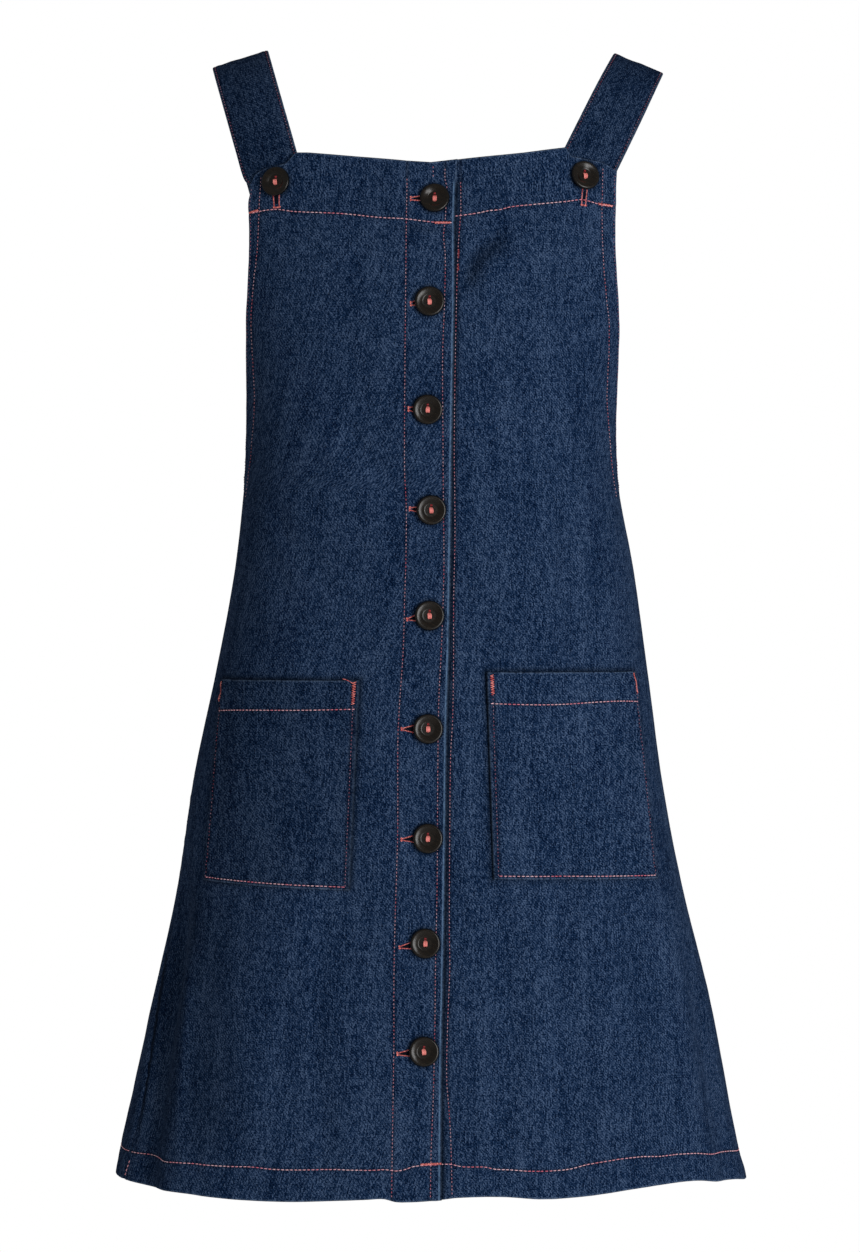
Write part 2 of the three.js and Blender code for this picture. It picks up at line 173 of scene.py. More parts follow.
# The line of stitches across the bib that holds its top facing, on each front.
BAND_RIGHT = table(
    "x z",
    (-139, -129.6), (-131.5, -128.1), (-117, -127.2), (-103.6, -129.4),
    (-65, -132.2), (-38.4, -135.4), (-20, -136.6), (2.6, -139.3), (17, -139.7),
)
BAND_LEFT = table(
    "x z",
    (12, -134.7), (19.3, -134.2), (29.5, -132.8), (37, -131.5), (44.6, -129.8),
    (52, -129.1), (59.8, -126.9), (75, -125), (90, -123.3), (104, -121.5),
    (113.5, -119.9), (118.7, -120.6), (127.8, -122.7), (139.5, -123.6),
)

# The inner row of stitches round the armholes, down the front.
ARMHOLE_LINES = table(
    "z right left",
    (-95, -129.6, 130),
    (-112, -130.4, 130),
    (-157, -132.2, 130.6),
    (-190, -136, 133),
    (-217, -137.4, 135.6),
    (-268, -135.4, 134.5),
    (-300, -137.8, 137.4),
    (-345, -143.4, 142.6),
)

HEM_EDGE = table(
    "angle drop",
    (-180, -2), (-95, -3), (-76, -3.2), (-70, -2.4), (-62, -0.3), (-56, -0.6),
    (-50, -0.6), (-45, 0.1), (-40, 1.4), (-30, 3), (-20, 2.6), (-8, -0.2),
    (-5.6, -0.9), (-3.9, 1.3), (-1.8, 1.2), (0.5, 0.1), (3, -1.6), (9, -2),
    (16, 0.3), (24, -0.7), (34, -4.9), (44, -6.9), (54, -7.2), (62, -4.4),
    (74, -2.6), (84, 0.5), (95, 1), (180, -2),
)

# How far the hem's row of stitches is above its edge.
HEM_ROW = table(
    "angle height",
    (-180, 22.5), (-95, 22), (-72, 20.9), (-63.7, 22.3), (-58, 21.9), (-53.3, 20.7),
    (-49, 21.3), (-42, 22.3), (-35.6, 23.3), (-30, 24.4), (-25, 23.3),
    (-13.8, 22.7), (-9.9, 21.7), (-6.2, 21.1), (-3, 23.4), (-1.5, 26), (1.7, 25.2),
    (3.4, 22.4), (6.7, 21.6), (8.5, 19.9), (18.7, 20.4), (21.5, 20.5), (25.9, 22.7),
    (37, 22.6), (43.7, 20.6), (61, 20.4), (75, 21), (95, 22), (180, 22.5),
)

# The folds that the part has, by angle and level, with the depth of each out of the plain section.
FOLDS = table(
    "start end top bottom span depth",
    (-75, -58, -600, -940, 7, -10),
    (-61, -47, -640, -940, 6, 3.5),
    (-30, -26, -620, -940, 9, -3),
    (28, 21.5, -520, -940, 6, -4),
    (41, 40, -300, -560, 8, -3),
    (47, 48, -600, -940, 9, -3.5),
    (70, 68, -660, -940, 7, -5),
    (112, 108, -480, -940, 9, -9),
    (134, 130, -560, -940, 8, 5),
    (152, 149, -430, -940, 10, -8),
    (178, 175, -600, -940, 9, -5),
    (-116, -108, -520, -940, 9, -10),
    (-137, -132, -620, -940, 8, 5),
    (-155, -152, -450, -940, 10, -8),
)

# Smaller creases, each along a line across the front or the back, as wide as its span either side.
# On the back, x is measured to the wearer's left too. shade is how much painted shade darkens the cloth
# along it, and below 0 it takes from the painted shade of the others. The thinnest is the line on the
# right flank.
CREASES = table(
    "x1 z1 x2 z2 span depth front shade",
    (53, -146, 22, -186, 6, -5, 1, 0.45),
    (66, -153, 36, -198, 8, 2.6, 1, 0),
    (-22, -142.5, 5, -144, 2.6, -1.6, 1, 0.35),
    (-180, -650, -178, -862, 32, -2.6, 1, 0.34),
    (-203, -690, -226, -838, 1.5, -0.8, 1, 0.8),
    (-189, -650, -189, -850, 4, 0.8, 1, -0.12),
    (-64, -292, -26, -342, 7, -1.3, 1, 0),
    (-80, -300, -40, -362, 9, 0.9, 1, 0),
    (-128, -352, -84, -402, 8, -1.8, 1, 0),
    (-132, -372, -96, -440, 9, -1.3, 1, 0),
    (130, -350, 92, -398, 8, -1.6, 1, 0),
    (134, -376, 104, -452, 9, -1.2, 1, 0),
    (104, -330, 103, -470, 9, -1.6, 1, 0),
    (86, -520, 84, -830, 9, 1.6, 1, 0),
    (58, -660, 54, -845, 10, -1.5, 1, 0),
    (20, -612, 19, -684, 7, -1.6, 1, 0),
    (51, -824, 86, -843, 5, -1.2, 1, 0),
    (-112, -560, -126, -860, 24, 2.6, 1, 0),
    (-78, -640, -84, -860, 8, -1.4, 1, 0),
    (-56, -690, -60, -860, 11, 1.0, 1, 0),
    (-45, -400, -52, -470, 14, -0.8, 1, 0),
    (-84, -180, -60, -232, 10, -0.7, 1, 0),
    (100, -200, 80, -262, 12, -0.7, 1, 0),
    (118, -352, 62, -398, 9, -2.0, 0, 0),
    (124, -380, 70, -450, 11, -1.6, 0, 0),
    (-116, -356, -58, -396, 9, -2.0, 0, 0),
    (-128, -384, -76, -446, 11, -1.5, 0, 0),
    (-40, -300, 34, -318, 9, -1.2, 0, 0),
    (-52, -330, 40, -352, 10, 1.0, 0, 0),
    (-66, -176, -30, -240, 12, -1.2, 0, 0),
    (58, -180, 26, -250, 12, -1.1, 0, 0),
    (12, -420, 18, -560, 14, -1.5, 0, 0),
    (-44, -600, -50, -820, 12, 1.8, 0, 0),
    (52, -640, 60, -830, 12, 1.6, 0, 0),
)

# A pocket's corners and how much its bottom rises towards its inner side, then its hem's stitches:
# hem_outer and hem_inner are how far they are below the top, and sway how much they wave between.
POCKETS = rows_of(
    table(
        "side top bottom outer_top outer_bottom inner_top inner_bottom tilt hem_outer hem_inner sway",
        (-1, -484.5, -635.8, -159, -172.6, -54, -61, -4.8, 23.4, 20.3, 0.3),
        (1, -478.4, -634.7, 155, 171, 42, 46.9, 2.7, 22.9, 23.2, 1.1),
    )
)

STRAPS = rows_of(
    table(
        "side ridge_x ridge_z lean ridge_lean width bib_half",
        (-1, -148.5, -2, 16, 17.4, 45.2, 136.5),
        (1, 161.7, -5.2, 26.1, 22.3, 42.8, 138),
    )
)

# front is 1 on the leg that goes down the front. down is how far below the ridge a station is, and
# share how much of the way it has come from there to the depth of the bib or the back.
STRAP_COURSE = table(
    "front down share",
    (1, 134, 1),
    (1, 120, 1),
    (1, 106, 1),
    (1, 100, 0.995),
    (1, 94, 0.985),
    (1, 78, 0.92),
    (1, 60, 0.83),
    (1, 42, 0.71),
    (1, 26, 0.565),
    (1, 13.5, 0.41),
    (1, 5, 0.255),
    (1, 1.2, 0.125),
    (1, 0, 0),
    (0, 1.2, 0.12),
    (0, 5, 0.245),
    (0, 14, 0.4),
    (0, 28, 0.56),
    (0, 48, 0.71),
    (0, 72, 0.83),
    (0, 98, 0.915),
    (0, 120, 0.955),
    (0, 134, 0.978),
    (0, 147, 0.995),
    (0, 162, 1),
    (0, 178, 1),
)

# The worked buttonholes: how far each reaches from its button's middle and which way, and how wide
# it is at that end and at the button.
BUTTONHOLES = {
    "button_1": (17.7, (-1, -0.02), 1.7, 3.4),
    "button_2": (13.9, (-1, -0.12), 1.9, 3.4),
    "button_3": (14.1, (-1, 0.03), 2.2, 3.6),
    "button_4": (15.9, (-1, 0.06), 1.7, 3.6),
    "button_5": (16.9, (-1, -0.17), 0.9, 4.2),
    "button_6": (19.5, (-1, -0.01), 0.9, 5.4),
    "button_7": (19.5, (-1, -0.04), 0.9, 5.0),
    "button_8": (19.2, (-1, -0.16), 1.2, 4.8),
    "button_9": (19.7, (-1, -0.08), 1.2, 4.6),
    "button_strap_right": (18.6, (0.05, -1), 3.9, 4.4),
    "button_strap_left": (17.8, (-0.07, -1), 3.0, 3.4),
}

# ---------------------------------------------------------------- reading the tables


def read(columns, along, column, at):
    """The value of one column at places along another, smooth through every row."""
    xs, ys = columns[along], columns[column]
    if xs[0] > xs[1]:
        xs, ys = xs[::-1], ys[::-1]
    at = np.clip(at, xs[0], xs[-1])
    i = np.clip(np.searchsorted(xs, at), 1, len(xs) - 1)
    before = np.maximum(i - 2, 0)
    after = np.minimum(i + 1, len(xs) - 1)
    width = xs[i] - xs[i - 1]
    t = (at - xs[i - 1]) / width
    start = (ys[i] - ys[before]) / (xs[i] - xs[before]) * width
    end = (ys[after] - ys[i - 1]) / (xs[after] - xs[i - 1]) * width
    return (
        (2 * t**3 - 3 * t**2 + 1) * ys[i - 1]
        + (t**3 - 2 * t**2 + t) * start
        + (3 * t**2 - 2 * t**3) * ys[i]
        + (t**3 - t**2) * end
    )


def smoothstep(value, low, high):
    t = np.clip((value - low) / (high - low), 0, 1)
    return t * t * (3 - 2 * t)


def bell(away, width):
    return np.exp(-((away / width) ** 2))


# How many regular waves add up to an uneven one, along a line and over a surface.
WAVES = 5
SWELLS = 7


def waves(along, length, seed):
    """Uneven waves along a line, from -1 to 1 or so, of about that length."""
    random = np.random.default_rng(seed)
    total = 0
    for _ in range(WAVES):
        period = length * random.uniform(0.6, 1.7)
        total += np.sin(math.tau * (along / period + random.uniform()))
    return total / math.sqrt(WAVES)


def undulation(x, z, length, seed):
    """Uneven waves all over a surface."""
    random = np.random.default_rng(seed)
    total = 0
    for _ in range(SWELLS):
        heading = random.uniform(0, math.tau)
        period = length * random.uniform(0.7, 1.6)
        run = x * math.cos(heading) + z * math.sin(heading)
        total += np.sin(math.tau * (run / period + random.uniform()))
    return total / math.sqrt(SWELLS)


# ---------------------------------------------------------------- the body's surface


def turn(angle):
    """An angle brought to within half a turn of centre front."""
    return (angle + 180) % 360 - 180


def spread_at(z, front):
    spread = np.where(front, read(BODY, "z", "front_spread", z), read(BODY, "z", "back_spread", z))
    return np.where(z > UNDERARM_Z, np.maximum(spread, 1), 1)


def armhole_angle(z, front):
    return np.degrees(np.arcsin(spread_at(z, front) ** (-SQUARENESS / 2)))


def section_size(z, side, front):
    """Half width and depth of the section at a level, on one side of the front or the back."""
    drawn_in = np.where(front, 0, BACK_DRAWN_IN * smoothstep(z, UNDERARM_Z, BACK_Z))
    edge = np.where(side < 0, read(BODY, "z", "right", z), read(BODY, "z", "left", z)) - drawn_in
    depth = np.where(front, read(BODY, "z", "front", z), read(BODY, "z", "back", z))
    return edge * spread_at(z, front), depth


def fold_height(angle, z):
    height = 0
    for fold in rows_of(FOLDS):
        along = np.clip((fold["top"] - z) / (fold["top"] - fold["bottom"]), 0, 1)
        middle = fold["start"] + (fold["end"] - fold["start"]) * along
        rise = smoothstep(along, 0, 0.35) * (1 - smoothstep(along, 0.9, 1))
        height += fold["depth"] * rise * bell(turn(angle - middle), fold["span"])
    return height


def body_point(angle, z, offset=0.0):
    """Points of the body at angles and levels, moved outwards by offset."""
    turned = turn(angle)
    side = np.where(turned < 0, -1, 1)
    front = np.abs(turned) <= 90
    facing = np.where(front, -1, 1)
    from_centre = np.radians(np.where(front, np.abs(turned), 180 - np.abs(turned)))
    half, depth = section_size(z, side, front)
    sine = np.sin(from_centre)
    cosine = np.maximum(np.cos(from_centre), 0)
    normal_x = side * sine ** (2 - 2 / SQUARENESS) / half
    normal_y = facing * cosine ** (2 - 2 / SQUARENESS) / depth
    out = (offset + fold_height(turned, z)) / np.hypot(normal_x, normal_y)
    x = side * half * sine ** (2 / SQUARENESS) + normal_x * out
    y = facing * depth * cosine ** (2 / SQUARENESS) + normal_y * out
    return np.stack([x, y, z + 0 * x], axis=-1)


def place_on_body(angle, z):
    """A point of the body and the direction out of it."""
    here = body_point(angle, z)
    across = body_point(angle + 2, z) - here
    upward = body_point(angle, z + 2) - here
    return here, unit(np.cross(across, upward))


def angle_at_x(x, z, front=True):
    """The angle at which the front or the back has a given x."""
    half, _ = section_size(z, x, front)
    from_centre = np.degrees(np.arcsin(np.clip(np.abs(x) / half, 0, 1) ** (SQUARENESS / 2)))
    return np.sign(x) * (from_centre if front else 180 - from_centre)


def unit(vectors):
    return vectors / np.maximum(np.linalg.norm(vectors, axis=-1, keepdims=True), 1e-9)


def run_along(points):
    """How far along a line each of its points is."""
    return np.concatenate([[0], np.cumsum(np.linalg.norm(np.diff(points, axis=0), axis=1))])


ROUND_POINTS = 1441  # one every quarter of a degree


def arcs(z, centre):
    """Angles all round the body at a level, and how far round each lies from the centre angle."""
    angles = centre + np.linspace(-180, 180, ROUND_POINTS)
    points = body_point(angles, np.full_like(angles, z))
    run = run_along(points)
    return angles, run - np.interp(centre, angles, run)


def button_places():
    """The buttons' nodes, centres and normals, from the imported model."""
    places = []
    for name in sorted(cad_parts):
        if not name.startswith("button_"):
            continue
        low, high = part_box(name)
        centre = np.array((low + high) / 2) / MM
        _, normal = place_on_body(angle_at_x(centre[0], centre[2]), centre[2])
        places.append((name, centre, normal))
    return places


BUTTONS = button_places()

# ---------------------------------------------------------------- meshes


def make_piece(name, points, faces, material, cloth=None, values=None):
    """An object from points in millimetres. cloth gives each point its place in the flat cloth, in
    metres, and values are more numbers that each point carries for its material."""
    mesh = bpy.data.meshes.new(name)
    mesh.from_pydata((points * MM).tolist(), [], faces)
    mesh.polygons.foreach_set("use_smooth", [True] * len(mesh.polygons))
    if cloth is not None:
        corners = np.zeros(len(mesh.loops), np.int32)
        mesh.loops.foreach_get("vertex_index", corners)
        layer = mesh.uv_layers.new(name="Cloth")
        layer.data.foreach_set("uv", (cloth[corners] * MM).astype(np.float32).ravel())
    for key, value in (values or {}).items():
        attribute = mesh.attributes.new(key, "FLOAT", "POINT")
        attribute.data.foreach_set("value", np.asarray(value, np.float32).ravel())
    mesh.materials.append(material)
    piece = bpy.data.objects.new(name, mesh)
    bpy.context.scene.collection.objects.link(piece)
    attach(piece, "root")
    return piece


def grid_faces(rows, columns, first=0, reverse=False):
    j, i = np.meshgrid(np.arange(rows - 1), np.arange(columns - 1), indexing="ij")
    corner = (first + j * columns + i).ravel()
    faces = np.stack([corner, corner + 1, corner + columns + 1, corner + columns], axis=1)
    return (faces[:, ::-1] if reverse else faces).tolist()


def shell(name, outer, inner, material, cloth, values):
    """A closed wall between an outer and an inner grid of points, with a rounded rim."""
    rows, columns = outer.shape[:2]
    count = rows * columns
    at = np.arange(count).reshape(rows, columns)
    loop = np.concatenate([at[0, :-1], at[:-1, -1], at[-1, :0:-1], at[:0:-1, 0]])
    across = np.gradient((outer + inner) / 2, axis=1)
    upward = np.gradient((outer + inner) / 2, axis=0)
    push = np.zeros_like(outer)
    push[0] -= unit(upward[0])
    push[-1] += unit(upward[-1])
    push[:, 0] -= unit(across[:, 0])
    push[:, -1] += unit(across[:, -1])
    half = np.linalg.norm(outer - inner, axis=-1, keepdims=True) / 2
    middle = ((outer + inner) / 2 + push * half * 0.8).reshape(count, 3)[loop]
    points = np.concatenate([outer.reshape(count, 3), inner.reshape(count, 3), middle])
    faces = grid_faces(rows, columns) + grid_faces(rows, columns, count, reverse=True)
    rim = 2 * count + np.arange(len(loop))
    after = np.roll(np.arange(len(loop)), -1)
    faces += np.stack([loop[after], loop, rim, rim[after]], axis=1).tolist()
    faces += np.stack([rim[after], rim, loop + count, loop[after] + count], axis=1).tolist()

    def spread(value, inside=None):
        value = np.broadcast_to(value, (rows, columns) + value.shape[2:]).reshape(count, -1)
        return np.concatenate([value, value if inside is None else inside, value[loop]])

    carried = {key: spread(value) for key, value in values.items()}
    carried["inside"] = spread(np.zeros((rows, columns)), np.ones((count, 1)))
    return make_piece(name, points, faces, material, spread(cloth), carried)


class Panel:
    """A grid of points on a piece's outer face. Each coordinate has a value for every point that
    rises along its row, and levels has one that rises from row to row."""

    def __init__(self, outer, levels, **coordinates):
        self.outer = outer
        self.levels = levels
        self.coordinates = coordinates
        across = np.gradient(outer, axis=1)
        upward = np.gradient(outer, axis=0)
        self.normals = unit(np.cross(across, upward))

    def at(self, coordinate, value, level):
        """Points and normals of the outer face where a coordinate has a value at a level."""
        grid = self.coordinates[coordinate]
        columns = np.arange(grid.shape[1])
        value, level = np.broadcast_arrays(np.asarray(value, float), np.asarray(level, float))
        row = np.interp(level, self.levels, np.arange(len(self.levels)))
        below = np.minimum(row.astype(int), len(self.levels) - 2)
        points = np.zeros(value.shape + (3,))
        normals = np.zeros(value.shape + (3,))
        for place in np.ndindex(value.shape):
            for j, weight in ((below[place], 1 - row[place] + below[place]),
                              (below[place] + 1, row[place] - below[place])):
                column = np.interp(value[place], grid[j], columns)
                i = min(int(column), grid.shape[1] - 2)
                t = column - i
                points[place] += weight * ((1 - t) * self.outer[j, i] + t * self.outer[j, i + 1])
                normals[place] += weight * ((1 - t) * self.normals[j, i] + t * self.normals[j, i + 1])
        return points, unit(normals)


# ---------------------------------------------------------------- materials


WAVE_LENGTH = 0.314  # of Blender's wave texture, in its own units


class Shader:
    """A material and its nodes."""

    def __init__(self, name, roughness, specular):
        self.material = bpy.data.materials.new(name)
        self.material.use_nodes = True
        self.tree = self.material.node_tree
        self.surface = self.tree.nodes["Principled BSDF"]
        self.surface.inputs["Roughness"].default_value = roughness
        self.surface.inputs["Specular IOR Level"].default_value = specular

    def add(self, kind, inputs=None, output=0, **settings):
        """Adds a node and returns one of its outputs. An input is a value or another node's output."""
        node = self.tree.nodes.new("ShaderNode" + kind)
        for name, value in settings.items():
            setattr(node, name, value)
        for name, value in (inputs or {}).items():
            if isinstance(value, bpy.types.NodeSocket):
                self.tree.links.new(value, node.inputs[name])
            else:
                node.inputs[name].default_value = value
        return node.outputs[output]

    def math(self, operation, a, b=0.0, c=0.0):
        return self.add("Math", {0: a, 1: b, 2: c}, operation=operation)

    def between(self, value, low, high, start=0.0, end=1.0):
        """value's way from low to high, as a number from start to end."""
        names = ("Value", "From Min", "From Max", "To Min", "To Max")
        return self.add("MapRange", dict(zip(names, (value, low, high, start, end))))

    def blend(self, share, a, b):
        return self.add("Mix", {0: share, 6: a, 7: b}, output=2, data_type="RGBA")

    def carried(self, name):
        return self.add("Attribute", output=2, attribute_name=name)

    def on_cloth(self, across, along, turned=0.0):
        """The flat cloth's coordinates, with one unit to so many millimetres each way."""
        place = self.add("UVMap", uv_map="Cloth")
        scale = (1 / (across * MM), 1 / (along * MM), 1)
        rotated = self.add("Mapping", {"Vector": place, "Rotation": (0, 0, math.radians(turned))})
        return self.add("Mapping", {"Vector": rotated, "Scale": scale})

    def grain(self, across, along, detail=1.0, turned=0.0):
        """Uneven patches of about that size in the cloth, from 0 to 1."""
        place = self.on_cloth(across, along, turned)
        return self.add("TexNoise", {"Vector": place, "Scale": 1.0, "Detail": detail})

    def twist(self, pitch):
        """The turns of a thread's strands, slanting across it, one in so many millimetres."""
        place = self.on_cloth(pitch / WAVE_LENGTH, pitch / WAVE_LENGTH, 40)
        return self.add("TexWave", {"Vector": place, "Scale": 1.0, "Distortion": 0.4}, output=1)

    def part(self, vector, axis):
        return self.add("SeparateXYZ", {"Vector": vector}, output="XYZ".index(axis))

    def twill(self, width, length):
        """Warp threads lying over the weft, each float one column along and as far down from the
        last, so that the gaps between them make the diagonal. Returns each float's own random
        value and how high the thread stands, both from 0 to 1."""
        bend = self.grain(7 * width, 5 * length)
        place = self.on_cloth(width, width)
        across = self.math("MULTIPLY_ADD", bend, 0.9, self.part(place, "X"))
        along = self.math("MULTIPLY_ADD", bend, 1.6, self.part(place, "Y"))
        column = self.math("FLOOR", across)
        row = self.math("MULTIPLY", self.math("ADD", along, column), width / length)
        cell = self.add("CombineXYZ", {"X": column, "Y": self.math("FLOOR", row)})
        own = self.add("TexWhiteNoise", {"Vector": cell}, noise_dimensions="2D")
        from_middle = self.math("ABSOLUTE", self.math("SUBTRACT", self.math("FRACT", across), 0.5))
        from_float = self.math("ABSOLUTE", self.math("SUBTRACT", self.math("FRACT", row), 0.5))
        round_thread = self.between(from_middle, 0.2, 0.5, 1, 0.35)
        over = self.between(from_float, 0.3, 0.42, 1, 0.1)
        return own, self.math("MULTIPLY", round_thread, over)

    def finish(self, colour, height, strength, distance):
        self.tree.links.new(colour, self.surface.inputs["Base Color"])
        bump = {"Height": height, "Strength": strength, "Distance": distance * MM}
        self.tree.links.new(self.add("Bump", bump), self.surface.inputs["Normal"])
        return self.material


def rgb(red, green, blue):
    return (red, green, blue, 1)


def denim(name, brightness=1.0):
    """Indigo twill: steep wales, uneven threads, slubs both ways, pale flecks and pale worn edges, with
    painted shade beside the stitches and in the sheltered places of a front.
    """
    s = Shader(name, roughness=0.95, specular=0.02)
    own, raised = s.twill(0.92, 2.6)
    threads = s.grain(1, 1, 0)
    warp = s.grain(1.1, 12, 2)
    weft = s.grain(16, 1.2)
    cloud = s.grain(42, 60, 2)
    bands = s.grain(12, 110)
    flecks = s.between(s.grain(1.2, 1.5, 0.5), 0.70, 0.80)
    tone = s.math("MULTIPLY_ADD", raised, 0.75, -0.40)
    parts = ((own, 0.9), (threads, 2.3), (warp, 1.25), (weft, 0.5), (cloud, 0.4), (bands, 0.7))
    for part, amount in parts:
        tone = s.math("ADD", tone, s.math("MULTIPLY_ADD", part, amount, -amount / 2))
    indigo = (0.0002, 0.0030, 0.0150), (0.0060, 0.0205, 0.0590), (0.0660, 0.1060, 0.1900)
    dark, middle, light = [rgb(*(brightness * c for c in shade)) for shade in indigo]
    colour = s.blend(s.between(tone, -0.8, 0), dark, middle)
    colour = s.blend(s.between(tone, 0, 1.1), colour, light)
    colour = s.blend(s.math("MULTIPLY", flecks, 0.3), colour, rgb(0.12, 0.16, 0.22))
    rubbed = s.math("MULTIPLY", s.between(s.carried("edge"), 0.2, 1.7, 1, 0), s.grain(2.4, 2.4, 2))
    colour = s.blend(s.between(rubbed, 0.3, 0.75, 0, 0.75), colour, rgb(0.10, 0.15, 0.24))
    # Painted shade, with some dirt, in the dip beside the stitch lines.
    beside = s.between(s.carried("seam"), 0.6, 1.9, 0.45, 0)
    colour = s.blend(beside, colour, rgb(0.0025, 0.0022, 0.006))
    worn = s.math("MULTIPLY", s.carried("worn"), s.between(s.grain(1.5, 5, 1), 0.3, 0.6, 0.35, 1))
    colour = s.blend(worn, colour, rgb(0.115, 0.20, 0.33))
    # Painted shade: the cloth darkened above and beside the pockets, beside the lapping edge, round the
    # buttons and along the creases.
    colour = s.blend(s.carried("painted_shade"), colour, rgb(0.0022, 0.0046, 0.0105))
    reverse = s.blend(s.between(tone, -0.5, 0.5), rgb(0.06, 0.085, 0.12), rgb(0.20, 0.24, 0.30))
    colour = s.blend(s.carried("inside"), colour, reverse)
    height = s.math("MULTIPLY_ADD", raised, 0.6, s.math("MULTIPLY", threads, 0.8))
    height = s.math("MULTIPLY_ADD", warp, 0.4, height)
    return s.finish(colour, height, 0.4, 0.2)


def coral_thread():
    """Twisted polyester thread, paler in some stitches, and drawn darker as painted shade where it lies
    deep in the cloth.
    """
    s = Shader("coral_thread", roughness=0.6, specular=0.3)
    twist = s.twist(0.9)
    # Painted shade: the thread drawn darker where its rows sink into the cloth.
    coral = s.blend(s.carried("bright"), rgb(0.17, 0.022, 0.055), rgb(0.66, 0.15, 0.22))
    pale = s.blend(s.carried("bright"), rgb(0.20, 0.12, 0.20), rgb(0.82, 0.54, 0.60))
    colour = s.blend(s.carried("shade"), coral, pale)
    colour = s.blend(s.math("MULTIPLY", twist, 0.3), colour, rgb(0.20, 0.035, 0.05))
    return s.finish(colour, twist, 0.5, 0.1)


def bright_thread():
    """The same thread in the dense stitching of bartacks, buttonholes and buttons. Its light end is
    partly painted highlight, and it is drawn darker as painted shade where bright is low.
    """
    s = Shader("bright_thread", roughness=0.5, specular=0.3)
    twist = s.twist(0.8)
    # Light end partly painted highlight: the thread as bright as its sheen shows it.
    colour = s.blend(s.carried("shade"), rgb(0.42, 0.05, 0.05), rgb(0.95, 0.32, 0.28))
    # Painted shade: strands deep in a button and bartacks in a crevice drawn darker.
    colour = s.blend(s.carried("bright"), rgb(0.16, 0.008, 0.02), colour)
    colour = s.blend(s.math("MULTIPLY", twist, 0.3), colour, rgb(0.30, 0.03, 0.03))
    return s.finish(colour, twist, 0.5, 0.1)


def slit_shade():
    """The open cut inside a buttonhole, as a dark, frayed strip of painted shade."""
    s = Shader("slit_shade", roughness=0.95, specular=0.05)
    fray = s.grain(0.5, 0.9, 2)
    colour = s.blend(fray, rgb(0.001, 0.0012, 0.003), rgb(0.006, 0.009, 0.018))
    return s.finish(colour, fray, 0.5, 0.2)


def horn():
    """Dark brown button stuff, polished, with faint streaks and fine turning marks, and a near-black rim
    of painted shade and reflection.
    """
    s = Shader("horn", roughness=0.25, specular=0.3)
    streaks = s.grain(9, 2.2, 3, 25)
    marks = s.grain(1.1, 1.1, 2)
    dark, light = rgb(0.0034, 0.0024, 0.0014), rgb(0.012, 0.0072, 0.0036)
    colour = s.blend(s.between(streaks, 0.35, 0.75), dark, light)
    radius = s.add("VectorMath", {0: s.on_cloth(1, 1)}, output=1, operation="LENGTH")
    # Painted shade and reflection: the outer rim drawn near black, for the dark cloth it reflects and the
    # shadow round it.
    colour = s.blend(s.between(radius, 10, 10.8), colour, rgb(0.001, 0.0008, 0.0008))
    roughness = s.between(marks, 0.3, 0.7, 0.2, 0.34)
    s.tree.links.new(roughness, s.surface.inputs["Roughness"])
    return s.finish(colour, marks, 0.12, 0.05)


def studio_white(name, value):
    s = Shader(name, roughness=0.9, specular=0.1)
    cloud = s.add("TexNoise", {"Scale": 1.5, "Detail": 3.0})
    shade = rgb(value, value, value)
    colour = s.blend(cloud, shade, rgb(value * 0.985, value * 0.985, value * 0.98))
    return s.finish(colour, cloud, 0.02, 1)


DENIM = denim("denim")
DENIM_POCKET_RIGHT = denim("denim_pocket_right", 0.84)
DENIM_STRAP = denim("denim_strap", 0.8)
CORAL = coral_thread()
BRIGHT = bright_thread()
SLIT = slit_shade()
HORN = horn()

# ---------------------------------------------------------------- the cloth's fine relief


def creases(x, z, front, column):
    """The sum of one column of the creases over the front or the back."""
    total = 0
    for crease in rows_of(CREASES):
        if bool(crease["front"]) != front:
            continue
        run_x = crease["x2"] - crease["x1"]
        run_z = crease["z2"] - crease["z1"]
        length = math.hypot(run_x, run_z)
        along = ((x - crease["x1"]) * run_x + (z - crease["z1"]) * run_z) / length**2
        away = ((x - crease["x1"]) * run_z - (z - crease["z1"]) * run_x) / length
        bend = crease["span"] * 0.35 * waves(along, 1.1, int(length))
        fade = smoothstep(along, -0.25, 0.3) * (1 - smoothstep(along, 0.7, 1.25))
        total += crease[column] * fade * bell(away - bend, crease["span"])
    return total


def cloth_relief(x, z, front):
    """Creases and the gentle unevenness of the cloth, shared by a front and its pocket."""
    seed = 11 if front else 23
    low = 0.45 * undulation(x, z * 0.5, 62, seed)
    fine = 0.13 * undulation(x, z * 0.7, 19, seed + 1)
    return creases(x, z, front, "depth") + low + fine


def above_underarm(level):
    """1 on the rows beside the armholes and 0 on those that end at the side seams."""
    return smoothstep(level, UNDERARM_Z - 6, UNDERARM_Z + 4)


def joined(from_side, above):
    """What is left of the relief near a side seam, below the underarm, for both pieces to meet."""
    return above + (1 - above) * smoothstep(from_side, 1, 45)


